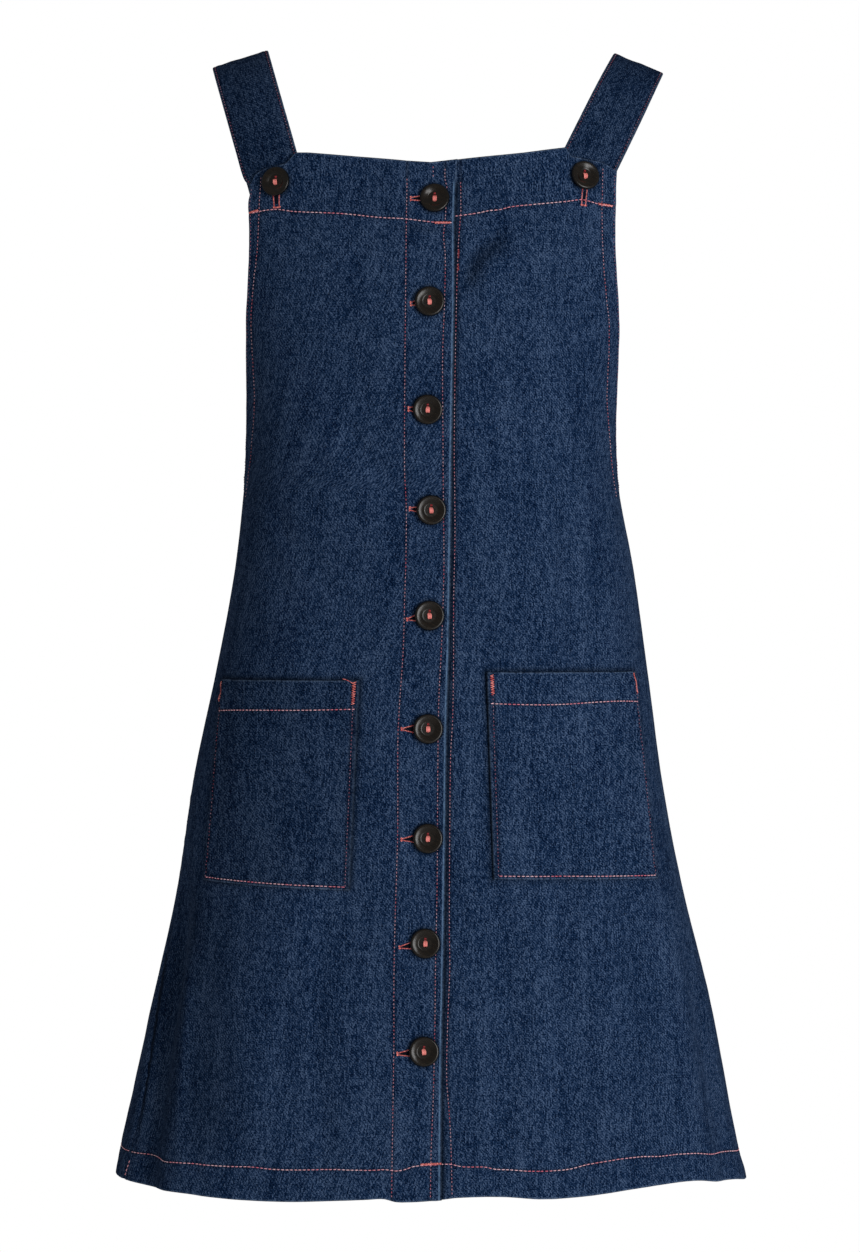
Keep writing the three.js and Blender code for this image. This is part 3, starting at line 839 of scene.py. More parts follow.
def front_painted_shade(x, z, side):
    """How much painted shade a front gets beside what lies on it, from 0 to 1: painted shadow above and
    beside its pocket, in the crevice beside the lapping edge and round the buttons.
    """
    place = next(row for row in POCKETS if row["side"] == side)
    up = (z - place["bottom"]) / (place["top"] - place["bottom"])
    inner = place["inner_bottom"] + (place["inner_top"] - place["inner_bottom"]) * up
    outer = place["outer_bottom"] + (place["outer_top"] - place["outer_bottom"]) * up
    above = z - place["top"]
    towards_centre = side * (inner - x)
    towards_side = side * (x - outer)
    below = place["bottom"] + place["tilt"] / 2 - z
    outside = np.maximum.reduce([above, towards_centre, towards_side, below])
    # Painted shadow above and beside the pocket.
    strength = np.where(outside == above, 0.75, np.where(outside == towards_centre, 0.7, 0.35))
    shade = strength * bell(np.maximum(outside, 0), 3.4)
    if side > 0:
        # Painted shadow in the crevice beside the lapping edge.
        from_lap = np.maximum(x - read(STAND_LINES, "z", "edge", z), 0)
        shade = np.maximum(shade, 0.9 * bell(from_lap, 3.4) * smoothstep(-z, 103, 110))
    # Painted contact shadow round the buttons.
    for _, centre, _ in BUTTONS:
        away = np.hypot(x - centre[0], z - centre[2]) - BUTTON_RADIUS
        if abs(centre[0]) < 100 or centre[0] * side > 0:
            shade = np.maximum(shade, 0.6 * bell(np.maximum(away, 0), 1.2))
    return shade


def seam_dip(away, depth=0.4, width=1.5):
    return -depth * bell(away, width)


def roping(along, from_edge, depth, height, seed, length=11):
    """Slanting ridges in a narrow turned edge, between the edge and its stitch line."""
    inside = smoothstep(from_edge, -0.5, 1.5) * (1 - smoothstep(from_edge, depth * 0.8, depth * 1.25))
    return height * inside * waves(along + 0.7 * from_edge, length, seed)


def pucker(along, away, height, reach, seed, length=13):
    """Ripples that a stitch line draws into the cloth on each side."""
    return height * bell(away, reach) * waves(along, length, seed)


def rising(start, *stretches):
    """Levels from the start through each stretch, which ends at a level and has its own spacing."""
    levels = [start]
    for end, spacing in stretches:
        count = max(1, round((end - levels[-1]) / spacing))
        levels.extend(np.linspace(levels[-1], end, count + 1)[1:])
    return np.array(levels, float)


FAR = 400  # a distance from an edge at which nothing of it shows
HEM_STITCHES = 14  # the row of a front's or the back's grid that is about where the hem's stitches are
FACING_STITCHES = -20  # the row of the back's grid that is about where its facing's stitches are

# The columns of a panel near an edge, as distances from it.
EDGE_COLUMNS = np.array([0, 0.6, 1.3, 2.1, 3, 4.2, 5.4, 6.6, 7.6, 8.6, 9.8, 11.4, 13.6, 16.4])
STAND_COLUMNS = np.concatenate(
    [
        [0, 0.6, 1.3, 2.2, 3.2, 4.2, 5.2, 6.2, 7.2, 8.4, 10, 12.4, 15.5, 19, 22.5, 26, 29, 31.4],
        [33, 34.2, 35.2, 36.2, 37.2, 38.2, 39.6, 41.6, 44.4],
    ]
)
HIDDEN_COLUMNS = np.array([0, 2, 6, 12, 18, 24, 28, 30, 32, 33.6, 35, 36.4, 37.8, 39.2, 41, 43.5])

# The rows of the panels: each stretch ends at a level and has its own spacing.
LOW_LEVELS = (-867.6, 0.8), (-851, 2.4), (-843, 1.3), (-300, 3.1)
FRONT_LEVELS = rising(HEM_Z, *LOW_LEVELS, (-142, 3.1), (-122, 1.5), (-98, 2.4), (BIB_Z, 0.75))
BACK_LEVELS = rising(HEM_Z, *LOW_LEVELS, (-178, 3.3), (-168, 1.6), (-141, 2.8), (BACK_Z, 0.75))


def panel_angles(levels, start, end, near, far, spacing, centre):
    """The columns of a panel, as angles and as distances round from its first column. start and
    end give its edges' angles at a level; near and far are the columns close to each edge."""
    widest = max(np.ptp(np.interp([start(z), end(z)], *arcs(z, centre))) for z in levels[::40])
    middle = round((widest - near[-1] - far[-1]) / spacing)
    share = np.linspace(0, 1, middle + 2)[1:-1]
    angles, distances = [], []
    for z in levels:
        all_angles, run = arcs(z, centre)
        first, last = np.interp([start(z), end(z)], all_angles, run)
        low = first + near
        high = last - far[::-1]
        places = np.concatenate([low, low[-1] + (high[0] - low[-1]) * share, high])
        angles.append(np.interp(places, run, all_angles))
        distances.append(places - first)
    return np.array(angles), np.array(distances)


def stand_lift(x, z):
    """How far the right front is raised over its button stand, settling away beside it."""
    inner = read(STAND_LINES, "z", "inner", z)
    return STAND_LIFT * smoothstep(x, inner - 46, inner - 1)


def hem_row(angle):
    """The level of the hem's row of stitches."""
    return HEM_Z + read(HEM_ROW, "angle", "height", turn(angle))


def hem_level(level, angle):
    """The height of a row, which follows the uneven hem near it."""
    return level - read(HEM_EDGE, "angle", "drop", turn(angle)) * smoothstep(-level, 700, -HEM_Z)


def bib_rise(x, level):
    """How far a row of the bib is above its level, for its top row to follow the bib's top edge."""
    top = np.interp(x, TOP_EDGE["x"], TOP_EDGE["z"])
    return (top - BIB_Z) * smoothstep(level, -125, -98)


ROUNDS = 40  # enough for the level to settle


def level_of(z, x):
    """The level of the bib's row that passes through a point."""
    level = z
    for _ in range(ROUNDS):
        level = z - bib_rise(x, level)
    return level


def nearest(*distances):
    return np.minimum.reduce([np.abs(d) for d in np.broadcast_arrays(*distances)])


class Grid:
    """The grid of a front or the back: the angle, level and place of each point, and how far it is
    from the panel's edges and seams. sides says which of its edges have an armhole and a side seam."""

    def __init__(self, levels, edges, borders, spacing, centre, sides):
        self.levels = levels
        self.angle, self.start = panel_angles(levels, *edges, *borders, spacing, centre)
        self.end = self.start - self.start[:, -1:]
        self.level = np.broadcast_to(levels[:, None], self.angle.shape)
        self.x = body_point(self.angle, self.level)[..., 0]
        self.z = hem_level(self.level, self.angle)
        self.from_hem = self.level - HEM_Z
        self.hem_seam = self.level - hem_row(self.angle)
        both = np.minimum(self.start, -self.end)
        self.from_side = {"first": self.start, "last": -self.end, "both": both}[sides]
        self.above = above_underarm(self.level)
        self.from_armhole = self.from_side + FAR * (1 - self.above)

    def relief(self, front, run, band_seam, band_pucker, armhole_seam, seed, side=0):
        """The cloth's own relief and what the hem, the band, the armhole and the side seam add."""
        relief = cloth_relief(self.x, self.z, front) * joined(self.from_side, self.above)
        relief += seam_dip(self.hem_seam) + seam_dip(band_seam) + seam_dip(armhole_seam)
        relief += roping(run, self.from_hem, 22, 0.45, seed, 13)
        relief += pucker(run, self.hem_seam - 4, 0.3, 7, seed + 1, 12)
        relief += pucker(run, band_seam, band_pucker, 6, seed + 2, 11)
        relief += roping(self.level, self.from_armhole, ARMHOLE_HEM, 0.22, seed + 3 + side, 9)
        relief += seam_dip(self.from_side, 0.7, 2.2) * (1 - self.above)
        relief += pucker(self.level, self.from_side, 0.35, 5, seed + 4 + side, 12) * (1 - self.above)
        return relief


def turned_in(*seams):
    """Where the cloth is double: 1 between an edge and any of these rows of stitches."""
    return np.maximum.reduce([1 - smoothstep(seam, -1, 1.5) for seam in seams])


def front_grid(side):
    """The grid of the front on one side, with its distances from the bib's edge and rows."""
    laps = side < 0

    def side_angle(z):
        if z > UNDERARM_Z:
            return side * armhole_angle(z, True)
        return side * read(SIDE_SEAMS, "z", "right" if laps else "left", z)

    def placket_angle(z):
        column = "edge" if laps else "inner"
        return angle_at_x(read(STAND_LINES, "z", column, z) + (0 if laps else 3), z)

    edges = (side_angle, placket_angle) if laps else (placket_angle, side_angle)
    borders = (EDGE_COLUMNS, STAND_COLUMNS) if laps else (HIDDEN_COLUMNS, EDGE_COLUMNS)
    grid = Grid(FRONT_LEVELS, edges, borders, 3.1, 0, "first" if laps else "last")
    grid.z = grid.z + bib_rise(grid.x, grid.level)
    grid.from_top = np.interp(grid.x, TOP_EDGE["x"], TOP_EDGE["z"]) - grid.z
    band = BAND_RIGHT if laps else BAND_LEFT
    grid.from_band = grid.z - np.interp(grid.x, band["x"], band["z"])
    line_x = read(ARMHOLE_LINES, "z", "right" if laps else "left", grid.levels)
    rows = zip(line_x, grid.x, grid.start if laps else grid.end)
    line = [abs(np.interp(at, xs, distances)) for at, xs, distances in rows]
    grid.armhole_seam = grid.from_armhole - np.array(line)[:, None]
    return grid


def lapping_stand(grid, relief):
    """The right front with its button stand: its relief, how far it is raised, its stand's inner row
    of stitches, and what its material is told."""
    from_stand = -grid.end
    stand_width = read(STAND_LINES, "z", "edge", grid.level) - read(STAND_LINES, "z", "inner", grid.level)
    stand_seam = from_stand - stand_width
    edge_seam = grid.x - read(EDGE_ROW, "z", "x", grid.z)
    relief += seam_dip(stand_seam) + seam_dip(edge_seam, 0.35)
    relief += pucker(grid.level, stand_seam, 0.28, 6, 36)
    relief += roping(grid.level, from_stand, 6.5, 0.25, 37, 10)
    under_bib = smoothstep(-grid.z, 104, 111)
    values = {
        "edge": nearest(from_stand, grid.from_hem, grid.from_top, grid.from_armhole),
        "seam": nearest(stand_seam, edge_seam, grid.hem_seam, grid.from_band, grid.armhole_seam),
        # Painted shade along the lapping edge itself, below the bib.
        "painted_shade": 0.75 * bell(from_stand, 0.5) * under_bib,
        "worn": bell(from_stand - 1.2, 0.45) * under_bib,
    }
    return relief, stand_lift(grid.x, grid.z), stand_seam, values


def hidden_stand(grid, relief):
    """The same of the left front, which passes under and is drawn in and flatter there."""
    stand_seam = grid.x - np.interp(grid.z, UNDER_LINE["z"][::-1], UNDER_LINE["x"][::-1])
    relief += seam_dip(stand_seam) + pucker(grid.level, stand_seam, 0.28, 6, 38)
    relief *= 0.35 + 0.65 * smoothstep(stand_seam, -7, -2)
    values = {
        "edge": nearest(grid.from_hem, grid.from_top, grid.from_armhole),
        "seam": nearest(stand_seam, grid.hem_seam, grid.from_band, grid.armhole_seam),
        "painted_shade": 0 * stand_seam,
        "worn": 0 * stand_seam,
    }
    return relief, -0.5 * (1 - smoothstep(stand_seam, -9, 0)), stand_seam, values


def front_panel(side):
    """The front on one side: -1 is the wearer's right, which laps over with its button stand."""
    laps = side < 0
    grid = front_grid(side)
    relief = grid.relief(True, grid.x, grid.from_band, 0.22, grid.armhole_seam, 31, side)
    stand = lapping_stand if laps else hidden_stand
    relief, lift, stand_seam, values = stand(grid, relief)
    faced = turned_in(stand_seam, grid.hem_seam, grid.armhole_seam, -grid.from_band)
    outer = body_point(grid.angle, grid.z, lift + relief)
    inner = body_point(grid.angle, grid.z, lift + relief - (CLOTH + (FACED - CLOTH) * faced))
    # Painted shade: beside the pocket, the lap and the buttons, along the creases, and on the lapping
    # edge.
    shades = front_painted_shade(grid.x, grid.z, side), creases(grid.x, grid.z, True, "shade"), values["painted_shade"]
    values["painted_shade"] = np.maximum.reduce(shades)
    cloth = np.stack([grid.start if laps else grid.start + 300, grid.level], axis=-1)
    name = "front_right" if laps else "front_left"
    piece = shell(name, outer, inner, DENIM, cloth, values)
    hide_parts(name)
    return piece, Panel(outer, grid.levels, x=grid.x, start=grid.start, end=grid.end, angle=grid.angle)


def back_panel():
    def left_angle(z):
        above = z > UNDERARM_Z
        return 180 - armhole_angle(z, False) if above else read(SIDE_SEAMS, "z", "left", z)

    def right_angle(z):
        above = z > UNDERARM_Z
        return 180 + armhole_angle(z, False) if above else 360 - read(SIDE_SEAMS, "z", "right", z)

    edges = left_angle, right_angle
    grid = Grid(BACK_LEVELS, edges, (EDGE_COLUMNS, EDGE_COLUMNS), 4.2, 180, "both")
    from_top = BACK_Z - grid.level
    facing_seam = from_top - BACK_FACING
    armhole_seam = grid.from_armhole - ARMHOLE_HEM
    run = grid.start - grid.start[:, -1:] / 2
    relief = grid.relief(False, run, facing_seam, 0.25, armhole_seam, 41)
    faced = turned_in(grid.hem_seam, armhole_seam, facing_seam)
    outer = body_point(grid.angle, grid.z, relief)
    inner = body_point(grid.angle, grid.z, relief - (CLOTH + (BACK_FACED - CLOTH) * faced))
    cloth = np.stack([grid.start + 700, grid.level], axis=-1)
    edge = nearest(grid.from_hem, from_top, grid.from_armhole)
    seam = nearest(grid.hem_seam, facing_seam, armhole_seam)
    piece = shell("back", outer, inner, DENIM, cloth, {"edge": edge, "seam": seam})
    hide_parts("back")
    return piece, Panel(outer, grid.levels, start=grid.start, end=grid.end, angle=grid.angle)


def pocket_hem(place, across):
    """How far a pocket's hem stitches are below its top, from its outer side, 0, to its inner, 1."""
    straight = place["hem_outer"] + (place["hem_inner"] - place["hem_outer"]) * across
    return straight + place["sway"] * np.sin(0.95 * math.tau * (1 - across))


def pocket(place):
    """A patch pocket, with its hem at the top and its other edges turned under."""
    side = place["side"]
    first, last = ("outer", "inner") if side < 0 else ("inner", "outer")
    height = place["top"] - place["bottom"]
    low = (1.2, 0.6), (12, 1.6)
    hem = (height - 30, 2.8), (height - 17, 1.5), (height - 1.2, 2.3), (height, 0.6)
    levels = rising(0, *low, *hem)
    width = abs(place["outer_bottom"] - place["inner_bottom"])
    near = np.array([0, 0.6, 1.3, 2.2, 3.2, 4.6, 6.4, 8.6, 11]) / width
    share = np.concatenate([near, np.linspace(near[-1], 1 - near[-1], 36)[1:-1], 1 - near[::-1]])
    up = (levels / height)[:, None]
    across = share if side < 0 else 1 - share
    z = place["bottom"] + height * up + place["tilt"] * across * (1 - up)

    def side_angle(which):
        x = place[which + "_bottom"] + (place[which + "_top"] - place[which + "_bottom"]) * up
        return angle_at_x(x, z)

    angle = side_angle(first) + (side_angle(last) - side_angle(first)) * share
    x = body_point(angle, z)[..., 0]
    row_width = np.abs(x[:, -1:] - x[:, :1])
    start = share * row_width
    end = start - row_width
    level = np.broadcast_to(levels[:, None], x.shape)
    from_side = np.minimum(start, -end)
    from_rim = np.minimum(from_side, level)
    from_top = height - level
    hem_seam = from_top - pocket_hem(place, across)
    relief = 1.1 * smoothstep(from_rim, 2, 34) * smoothstep(from_top, 6, 60)
    relief += 0.9 * (1 - smoothstep(from_top, 0, 26)) * smoothstep(from_side, 4, 34)
    relief += 0.5 * (1 - smoothstep(from_rim, 6.5, 9.5)) + 0.4 * turned_in(hem_seam)
    side_seam = nearest(from_side - POCKET_SIDE_SEAM, level - POCKET_BOTTOM_SEAM)
    relief += seam_dip(side_seam, 0.4, 1.3) + seam_dip(hem_seam)
    relief += roping(level + x, from_rim, 8, 0.38, 51 + int(side), 10)
    relief += pucker(x, hem_seam, 0.28, 7, 53 + int(side), 11)
    relief += 0.16 * waves(x, 9, 55 + int(side)) * (1 - smoothstep(from_top, 16, 24))
    lift = GAP + 0.2 + cloth_relief(x, z, True)
    if side < 0:
        lift = lift + stand_lift(x, z)
    outer = body_point(angle, z, lift + relief + POCKET_CLOTH)
    inner = body_point(angle, z, lift + np.minimum(relief, 1.2) * smoothstep(from_rim, 9, 14))
    cloth = np.stack([x + 1500 + 0 * z, z], axis=-1)
    name = "pocket_right" if side < 0 else "pocket_left"
    finish = DENIM_POCKET_RIGHT if side < 0 else DENIM
    values = {"edge": nearest(from_rim, from_top), "seam": nearest(side_seam, hem_seam)}
    # Painted shade along the pocket's sides.
    values["painted_shade"] = 0.7 * bell(from_side, 0.5)
    piece = shell(name, outer, inner, finish, cloth, values)
    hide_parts(name)
    return piece, Panel(outer, levels, start=start, end=end, across=side * -across + 0 * x)


# ---------------------------------------------------------------- the straps


def depth_inside(x, z, front):
    """Depth (y) of the middle of a strap that lies inside the front or the back."""
    here, normal = place_on_body(angle_at_x(x, z, front), z)
    return here[..., 1] - (CLOTH + STRAP_CLEARANCE + STRAP / 2) / normal[..., 1]


def along_course(stations, spacing):
    """Points at even steps on a smooth curve through each column of stations."""
    run = run_along(stations.mean(axis=1))
    at = np.linspace(0, run[-1], round(run[-1] / spacing))
    flat = stations.reshape(len(stations), -1)
    smooth = [read({"run": run, "value": column}, "run", "value", at) for column in flat.T]
    return np.stack(smooth, axis=1).reshape((len(at),) + stations.shape[1:]), at


def strap(place):
    """A strap from its buttoned end behind the bib, over the shoulder, to its end inside the back."""
    side = place["side"]
    slant = math.radians(place["lean"])
    down = np.array([-side * math.sin(slant), -math.cos(slant)])
    ridge_slope = math.tan(math.radians(place["ridge_lean"])) * math.cos(slant)
    half = place["width"] / 2 - 0.4 * STRAP
    aside = np.array([0, 0.6, 1.3, 2.1, 3, 4.4, 6.6, 10, 14, 18, half])
    aside = np.concatenate([aside - half, half - aside[-2::-1]])

    def seen(distance, front):
        """Where it is seen from the front. Its hidden end is drawn in, to lie behind the bib."""
        slope = math.sin(slant) + (ridge_slope - math.sin(slant)) * bell(distance, 25)
        outermost = place["ridge_x"] + down[0] * distance + side * math.cos(slant) * place["width"] / 2
        drawn_in = max(abs(outermost) - place["bib_half"], 0) * smoothstep(distance, 98, 106) * front
        x = place["ridge_x"] + down[0] * distance + math.cos(slant) * aside - side * drawn_in
        return x, place["ridge_z"] + down[1] * distance - side * slope * aside

    stations = []
    for station in rows_of(STRAP_COURSE):
        front = bool(station["front"])
        seen_x, seen_z = seen(station["down"], front)
        reach_x, reach_z = seen(max(station["down"], 92 if front else 140), front)
        y = station["share"] * depth_inside(reach_x, reach_z, front)
        stations.append(np.stack([seen_x, y, seen_z], axis=-1))
    middle, run = along_course(np.array(stations), 3)
    normal = unit(np.cross(np.gradient(middle, axis=1), np.gradient(middle, axis=0)))
    from_side = half - np.abs(aside) + 0 * run[:, None]
    seed = 61 + int(side)
    relief = seam_dip(from_side - STRAP_SEAM, 0.35, 1.2)
    relief += roping(run[:, None], from_side, 4.5, 0.28, seed, 9)
    relief += 0.3 * undulation(aside * 2.2, run[:, None], 60, seed) * smoothstep(from_side, 2, 12)
    relief += 0.35 * bell(aside - 5 * waves(run[:, None], 160, seed + 2), 4)
    free = smoothstep(run, 52, 75) * (1 - smoothstep(run, run[-1] - 75, run[-1] - 45))
    relief *= 0.2 + 0.8 * free[:, None]
    outer = middle + normal * (STRAP / 2 + relief)[..., None]
    inner = middle - normal * (STRAP / 2 - 0.6 * relief)[..., None]
    cloth = np.stack([aside + 0 * run[:, None] + 60 * side, run[:, None] + 0 * aside + 2000], axis=-1)
    name = "strap_right" if side < 0 else "strap_left"
    values = {"edge": from_side, "seam": np.abs(from_side - STRAP_SEAM)}
    piece = shell(name, outer, inner, DENIM_STRAP, cloth, values)
    piece.data.attributes["inside"].data.foreach_set("value", [0.0] * len(piece.data.vertices))
    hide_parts(name)
    aside_grid = aside + 0 * run[:, None]
    reverse = Panel(inner[:, ::-1], run, aside=-aside_grid[:, ::-1])
    return piece, Panel(outer, run, aside=aside_grid), reverse


# ---------------------------------------------------------------- sewing


class Sewing:
    """Threads gathered into one piece. Each is a row of stations with the cloth's normals there."""

    def __init__(self):
        self.paths = []
        self.normals = []
        self.radii = []
        self.shades = []
        self.brights = []

    def add(self, points, normals, radius, shade=None, bright=1.0):
        """Adds threads. shade is from 0, dark, to 1, or None for its own shade for each."""
        count = len(points)
        self.paths.extend(points)
        self.normals.extend(normals)
        self.radii.extend([radius] * count)
        self.shades.extend(np.broadcast_to(shade, count).tolist())
        self.brights.extend([bright] * count)

    def make(self, name, material, seed, bow=0.45, flat=1.0):
        """Makes the piece. Each thread dips into the cloth at both ends and bows up between them."""
        path = np.array(self.paths)
        normal = np.array(self.normals)
        radius = np.array(self.radii)[:, None]
        stations = path.shape[1]
        t = np.linspace(0, 1, stations)
        swell = np.sin(np.pi * (0.12 + 0.76 * t)) ** 0.5
        rise = bow - 1.35 * (np.abs(2 * t - 1) ** 4)
        along = unit(np.gradient(path, axis=1))
        beside = unit(np.cross(along, normal))
        centre = path + normal * (radius * rise * flat)[..., None]
        sides = 7
        around = np.arange(sides) / sides * math.tau
        outwards = (
            np.cos(around)[:, None] * beside[:, :, None]
            + flat * np.sin(around)[:, None] * normal[:, :, None]
        )
        points = centre[:, :, None] + outwards * (radius * swell)[..., None, None]
        count = len(path)
        first = np.arange(count)[:, None, None] * stations * sides
        k = np.arange(stations - 1)[None, :, None] * sides
        a = np.arange(sides)[None, None, :]
        b = (a + 1) % sides
        ring, following = first + k, first + k + sides
        corners = np.broadcast_arrays(ring + a, ring + b, following + b, following + a)
        faces = np.stack(corners, axis=-1)[..., ::-1].reshape(-1, 4).tolist()
        starts = np.arange(count)[:, None] * stations * sides
        faces += (starts + np.arange(sides)).tolist()
        faces += (starts + (stations - 1) * sides + np.arange(sides)[::-1]).tolist()
        length = np.linalg.norm(np.diff(path, axis=1), axis=-1).sum(axis=1)
        u = np.broadcast_to((t * length[:, None])[..., None], points.shape[:3])
        v = np.broadcast_to(around * 0.5, points.shape[:3])
        any_shade = np.random.default_rng(seed).uniform(size=count)
        shade = [own if own is not None else drawn for own, drawn in zip(self.shades, any_shade)]
        carried = {"shade": shade, "bright": self.brights}
        values = {key: np.repeat(value, stations * sides) for key, value in carried.items()}
        cloth = np.stack([u.ravel(), v.ravel()], axis=1)
        return make_piece(name, points.reshape(-1, 3), faces, material, cloth, values)


def topstitch(sewing, panel, coordinate, values, levels, seed=1, kind=SUNK):
    """A running row of stitches along a line given by its values of a coordinate and its levels."""
    pitch, share, radius, bright = kind
    points, _ = panel.at(coordinate, values, levels)
    run = run_along(points)
    count = max(1, int(run[-1] / pitch))
    random = np.random.default_rng(seed)
    begin = (np.arange(count) + 0.1) * run[-1] / count + random.normal(0, 0.1, count)
    length = pitch * share * random.uniform(0.92, 1.06, count)
    at = begin[:, None] + length[:, None] * np.linspace(0, 1, 5)
    points, normals = panel.at(coordinate, np.interp(at, run, values), np.interp(at, run, levels))
    shade = np.clip(0.62 + 0.4 * waves(begin, 38, seed + 200) + random.normal(0, 0.16, count), 0, 1)
    sewing.add(points, normals, radius, shade, bright)


def bars(sewing, panel, coordinate, starts, ends, radius=0.36, bright=1.0):
    """Dense short stitches, each from a start to an end, given as value and level pairs."""
    starts, ends = np.array(starts, float), np.array(ends, float)
    t = np.linspace(0, 1, 5)[None, :]
    values = starts[:, :1] + (ends[:, :1] - starts[:, :1]) * t
    levels = starts[:, 1:] + (ends[:, 1:] - starts[:, 1:]) * t
    points, normals = panel.at(coordinate, values, levels)
    sewing.add(points, normals, radius, bright=bright)


def bartack(sewing, panel, coordinate, start, end, width=2.4, pitch=0.62, seed=3, bright=1.0):
    """A bar of close zigzag stitches from start to end."""
    start, end = np.array(start, float), np.array(end, float)
    length = np.linalg.norm(end - start)
    heading = (end - start) / length
    aside = np.array([-heading[1], heading[0]])
    count = int(length / pitch)
    random = np.random.default_rng(seed)
    middle = start + heading * (np.linspace(0, length, count) + random.normal(0, 0.08, count))[:, None]
    reach = width / 2 * random.uniform(0.82, 1.12, count)[:, None]
    lean = heading * pitch * np.where(np.arange(count) % 2, 0.7, -0.7)[:, None]
    first, last = middle - aside * reach - lean, middle + aside * reach + lean
    bars(sewing, panel, coordinate, first, last, bright=bright)


def buttonhole(sewing, slits, panel, centre, reach, heading, far_gap, near_gap, seed):
    """A worked buttonhole, of which the button hides the near end. Two rails of close stitches and a
    bar round its far end."""
    centre = np.array(centre, float)
    heading = np.array(heading, float) / np.linalg.norm(heading)
    aside = np.array([-heading[1], heading[0]])
    random = np.random.default_rng(seed)
    near, rail = 8, 1.0
    count = int((reach - near) / 0.5)
    out = np.linspace(near, reach, count)
    gap = np.interp(out, [BUTTON_RADIUS - 1, reach], [near_gap / 2, far_gap / 2])
    for side in (-1, 1):
        base = centre + heading * (out + random.normal(0, 0.08, count))[:, None]
        inner = base + side * aside * (gap - rail / 2)[:, None]
        outer = base + side * aside * (gap + rail * random.uniform(0.35, 0.65, count))[:, None]
        bars(sewing, panel, "x", inner, outer + heading * 0.2, 0.3)
    end = centre + heading * (reach + 0.4)
    wide = aside * (far_gap / 2 + 0.6)
    bartack(sewing, panel, "x", end - wide, end + wide, 1.5, 0.5, seed)
    cut = np.linspace(centre + heading * (reach - 0.6), centre + heading * near, 5)
    points, normals = panel.at("x", cut[:, 0], cut[:, 1])
    slits.add([points], [normals], 0.25 + near_gap / 4)


def work_buttonholes(sewing, slits, panel, names):
    for k, (name, centre, _) in enumerate(BUTTONS):
        if name in names:
            level = level_of(centre[2], centre[0])
            buttonhole(sewing, slits, panel, (centre[0], level), *BUTTONHOLES[name], 70 + k)


def sew_front_right(panel, pocket_panel):
    runs, tight, slits = Sewing(), Sewing(), Sewing()
    for line, column, top, seed in ((STAND_LINES, "inner", -105, 1), (EDGE_ROW, "x", -97, 2)):
        down = np.linspace(-868, top, 300)
        xs = read(line, "z", column, down)
        topstitch(runs, panel, "x", xs, level_of(down, xs), seed)
    topstitch(runs, panel, "x", np.array([1.6, 1.5]), np.array([-106, -96.5]), 7)
    xs = np.linspace(-137, 16, 90)
    topstitch(runs, panel, "x", xs, level_of(read(BAND_RIGHT, "x", "z", xs), xs), 3, LYING)
    angles = np.linspace(*panel.coordinates["angle"][HEM_STITCHES, [0, -1]], 200)[2:-1]
    topstitch(runs, panel, "angle", angles, hem_row(angles), 4, LYING)
    up = np.linspace(UNDERARM_Z - 6, -99, 120)
    topstitch(runs, panel, "x", read(ARMHOLE_LINES, "z", "right", up), up, 5)
    topstitch(runs, panel, "start", ARMHOLE_EDGE_SEAM + 0 * up, up, 6, DEEP)
    topstitch(runs, panel, "x", np.array([-236, -231]), np.array([-868, -855]), 8, LYING)
    pocket_runs(runs, POCKETS[0], pocket_panel)
    bartack(tight, panel, "x", (3, -139.6), (14.3, -139.5), 2.0, 0.5, 11)
    bartack(tight, panel, "start", (0.8, -128.6), (8.6, -127.0), 1.7, 0.6, 12)
    bartack(tight, panel, "x", (-7.5, HEM_Z + 26.8), (7.4, HEM_Z + 26.6), 1.9, 0.55, 13)
    height = pocket_panel.levels[-1]
    bartack(tight, pocket_panel, "start", (1.4, height - 1.5), (1.6, height - 16), 1.2, 0.75, 14)
    bartack(tight, pocket_panel, "end", (-2.2, height - 1.2), (-2.4, height - 16.5), 2.3, 0.8, 15)
    work_buttonholes(tight, slits, panel, [name for name in BUTTONHOLES if name != "button_strap_left"])
    loose_thread(tight, pocket_panel)
    return finish_sewing("right", runs, tight, slits, 81)


def sew_front_left(panel, pocket_panel):
    runs, tight, slits = Sewing(), Sewing(), Sewing()
    down = np.linspace(-868, -107, 300)
    under = read(UNDER_LINE, "z", "x", down)
    topstitch(runs, panel, "x", under, level_of(down, under), 21)
    xs = np.linspace(14, 139, 80)
    topstitch(runs, panel, "x", xs, level_of(read(BAND_LEFT, "x", "z", xs), xs), 22, LYING)
    angles = np.linspace(0.3, panel.coordinates["angle"][HEM_STITCHES, -1] - 0.3, 200)
    topstitch(runs, panel, "angle", angles, hem_row(angles), 23, LYING)
    up = np.linspace(UNDERARM_Z - 6, -98, 120)
    topstitch(runs, panel, "x", read(ARMHOLE_LINES, "z", "left", up), up, 24)
    topstitch(runs, panel, "end", -ARMHOLE_EDGE_SEAM + 0 * up, up, 25, DEEP)
    pocket_runs(runs, POCKETS[1], pocket_panel)
    # Both drawn dark: painted shade in the crevice beside the lapping edge.
    bartack(tight, panel, "x", (20.6, -160), (20.4, -166), 1.5, 0.7, 27, 0.15)
    bartack(tight, panel, "x", (20.2, -171.5), (20.2, -175.5), 2.2, 0.7, 31, 0.2)
    bartack(tight, panel, "x", (127.8, -122.6), (138, -123.6), 2.0, 0.55, 28)
    height = pocket_panel.levels[-1]
    bartack(tight, pocket_panel, "start", (2.2, height - 1.8), (2.4, height - 16), 2.2, 0.8, 29)
    bartack(tight, pocket_panel, "end", (-2.6, height - 0.8), (-1.2, height - 15.5), 1.4, 0.75, 30)
    work_buttonholes(tight, slits, panel, ["button_strap_left"])
    return finish_sewing("left", runs, tight, slits, 82)


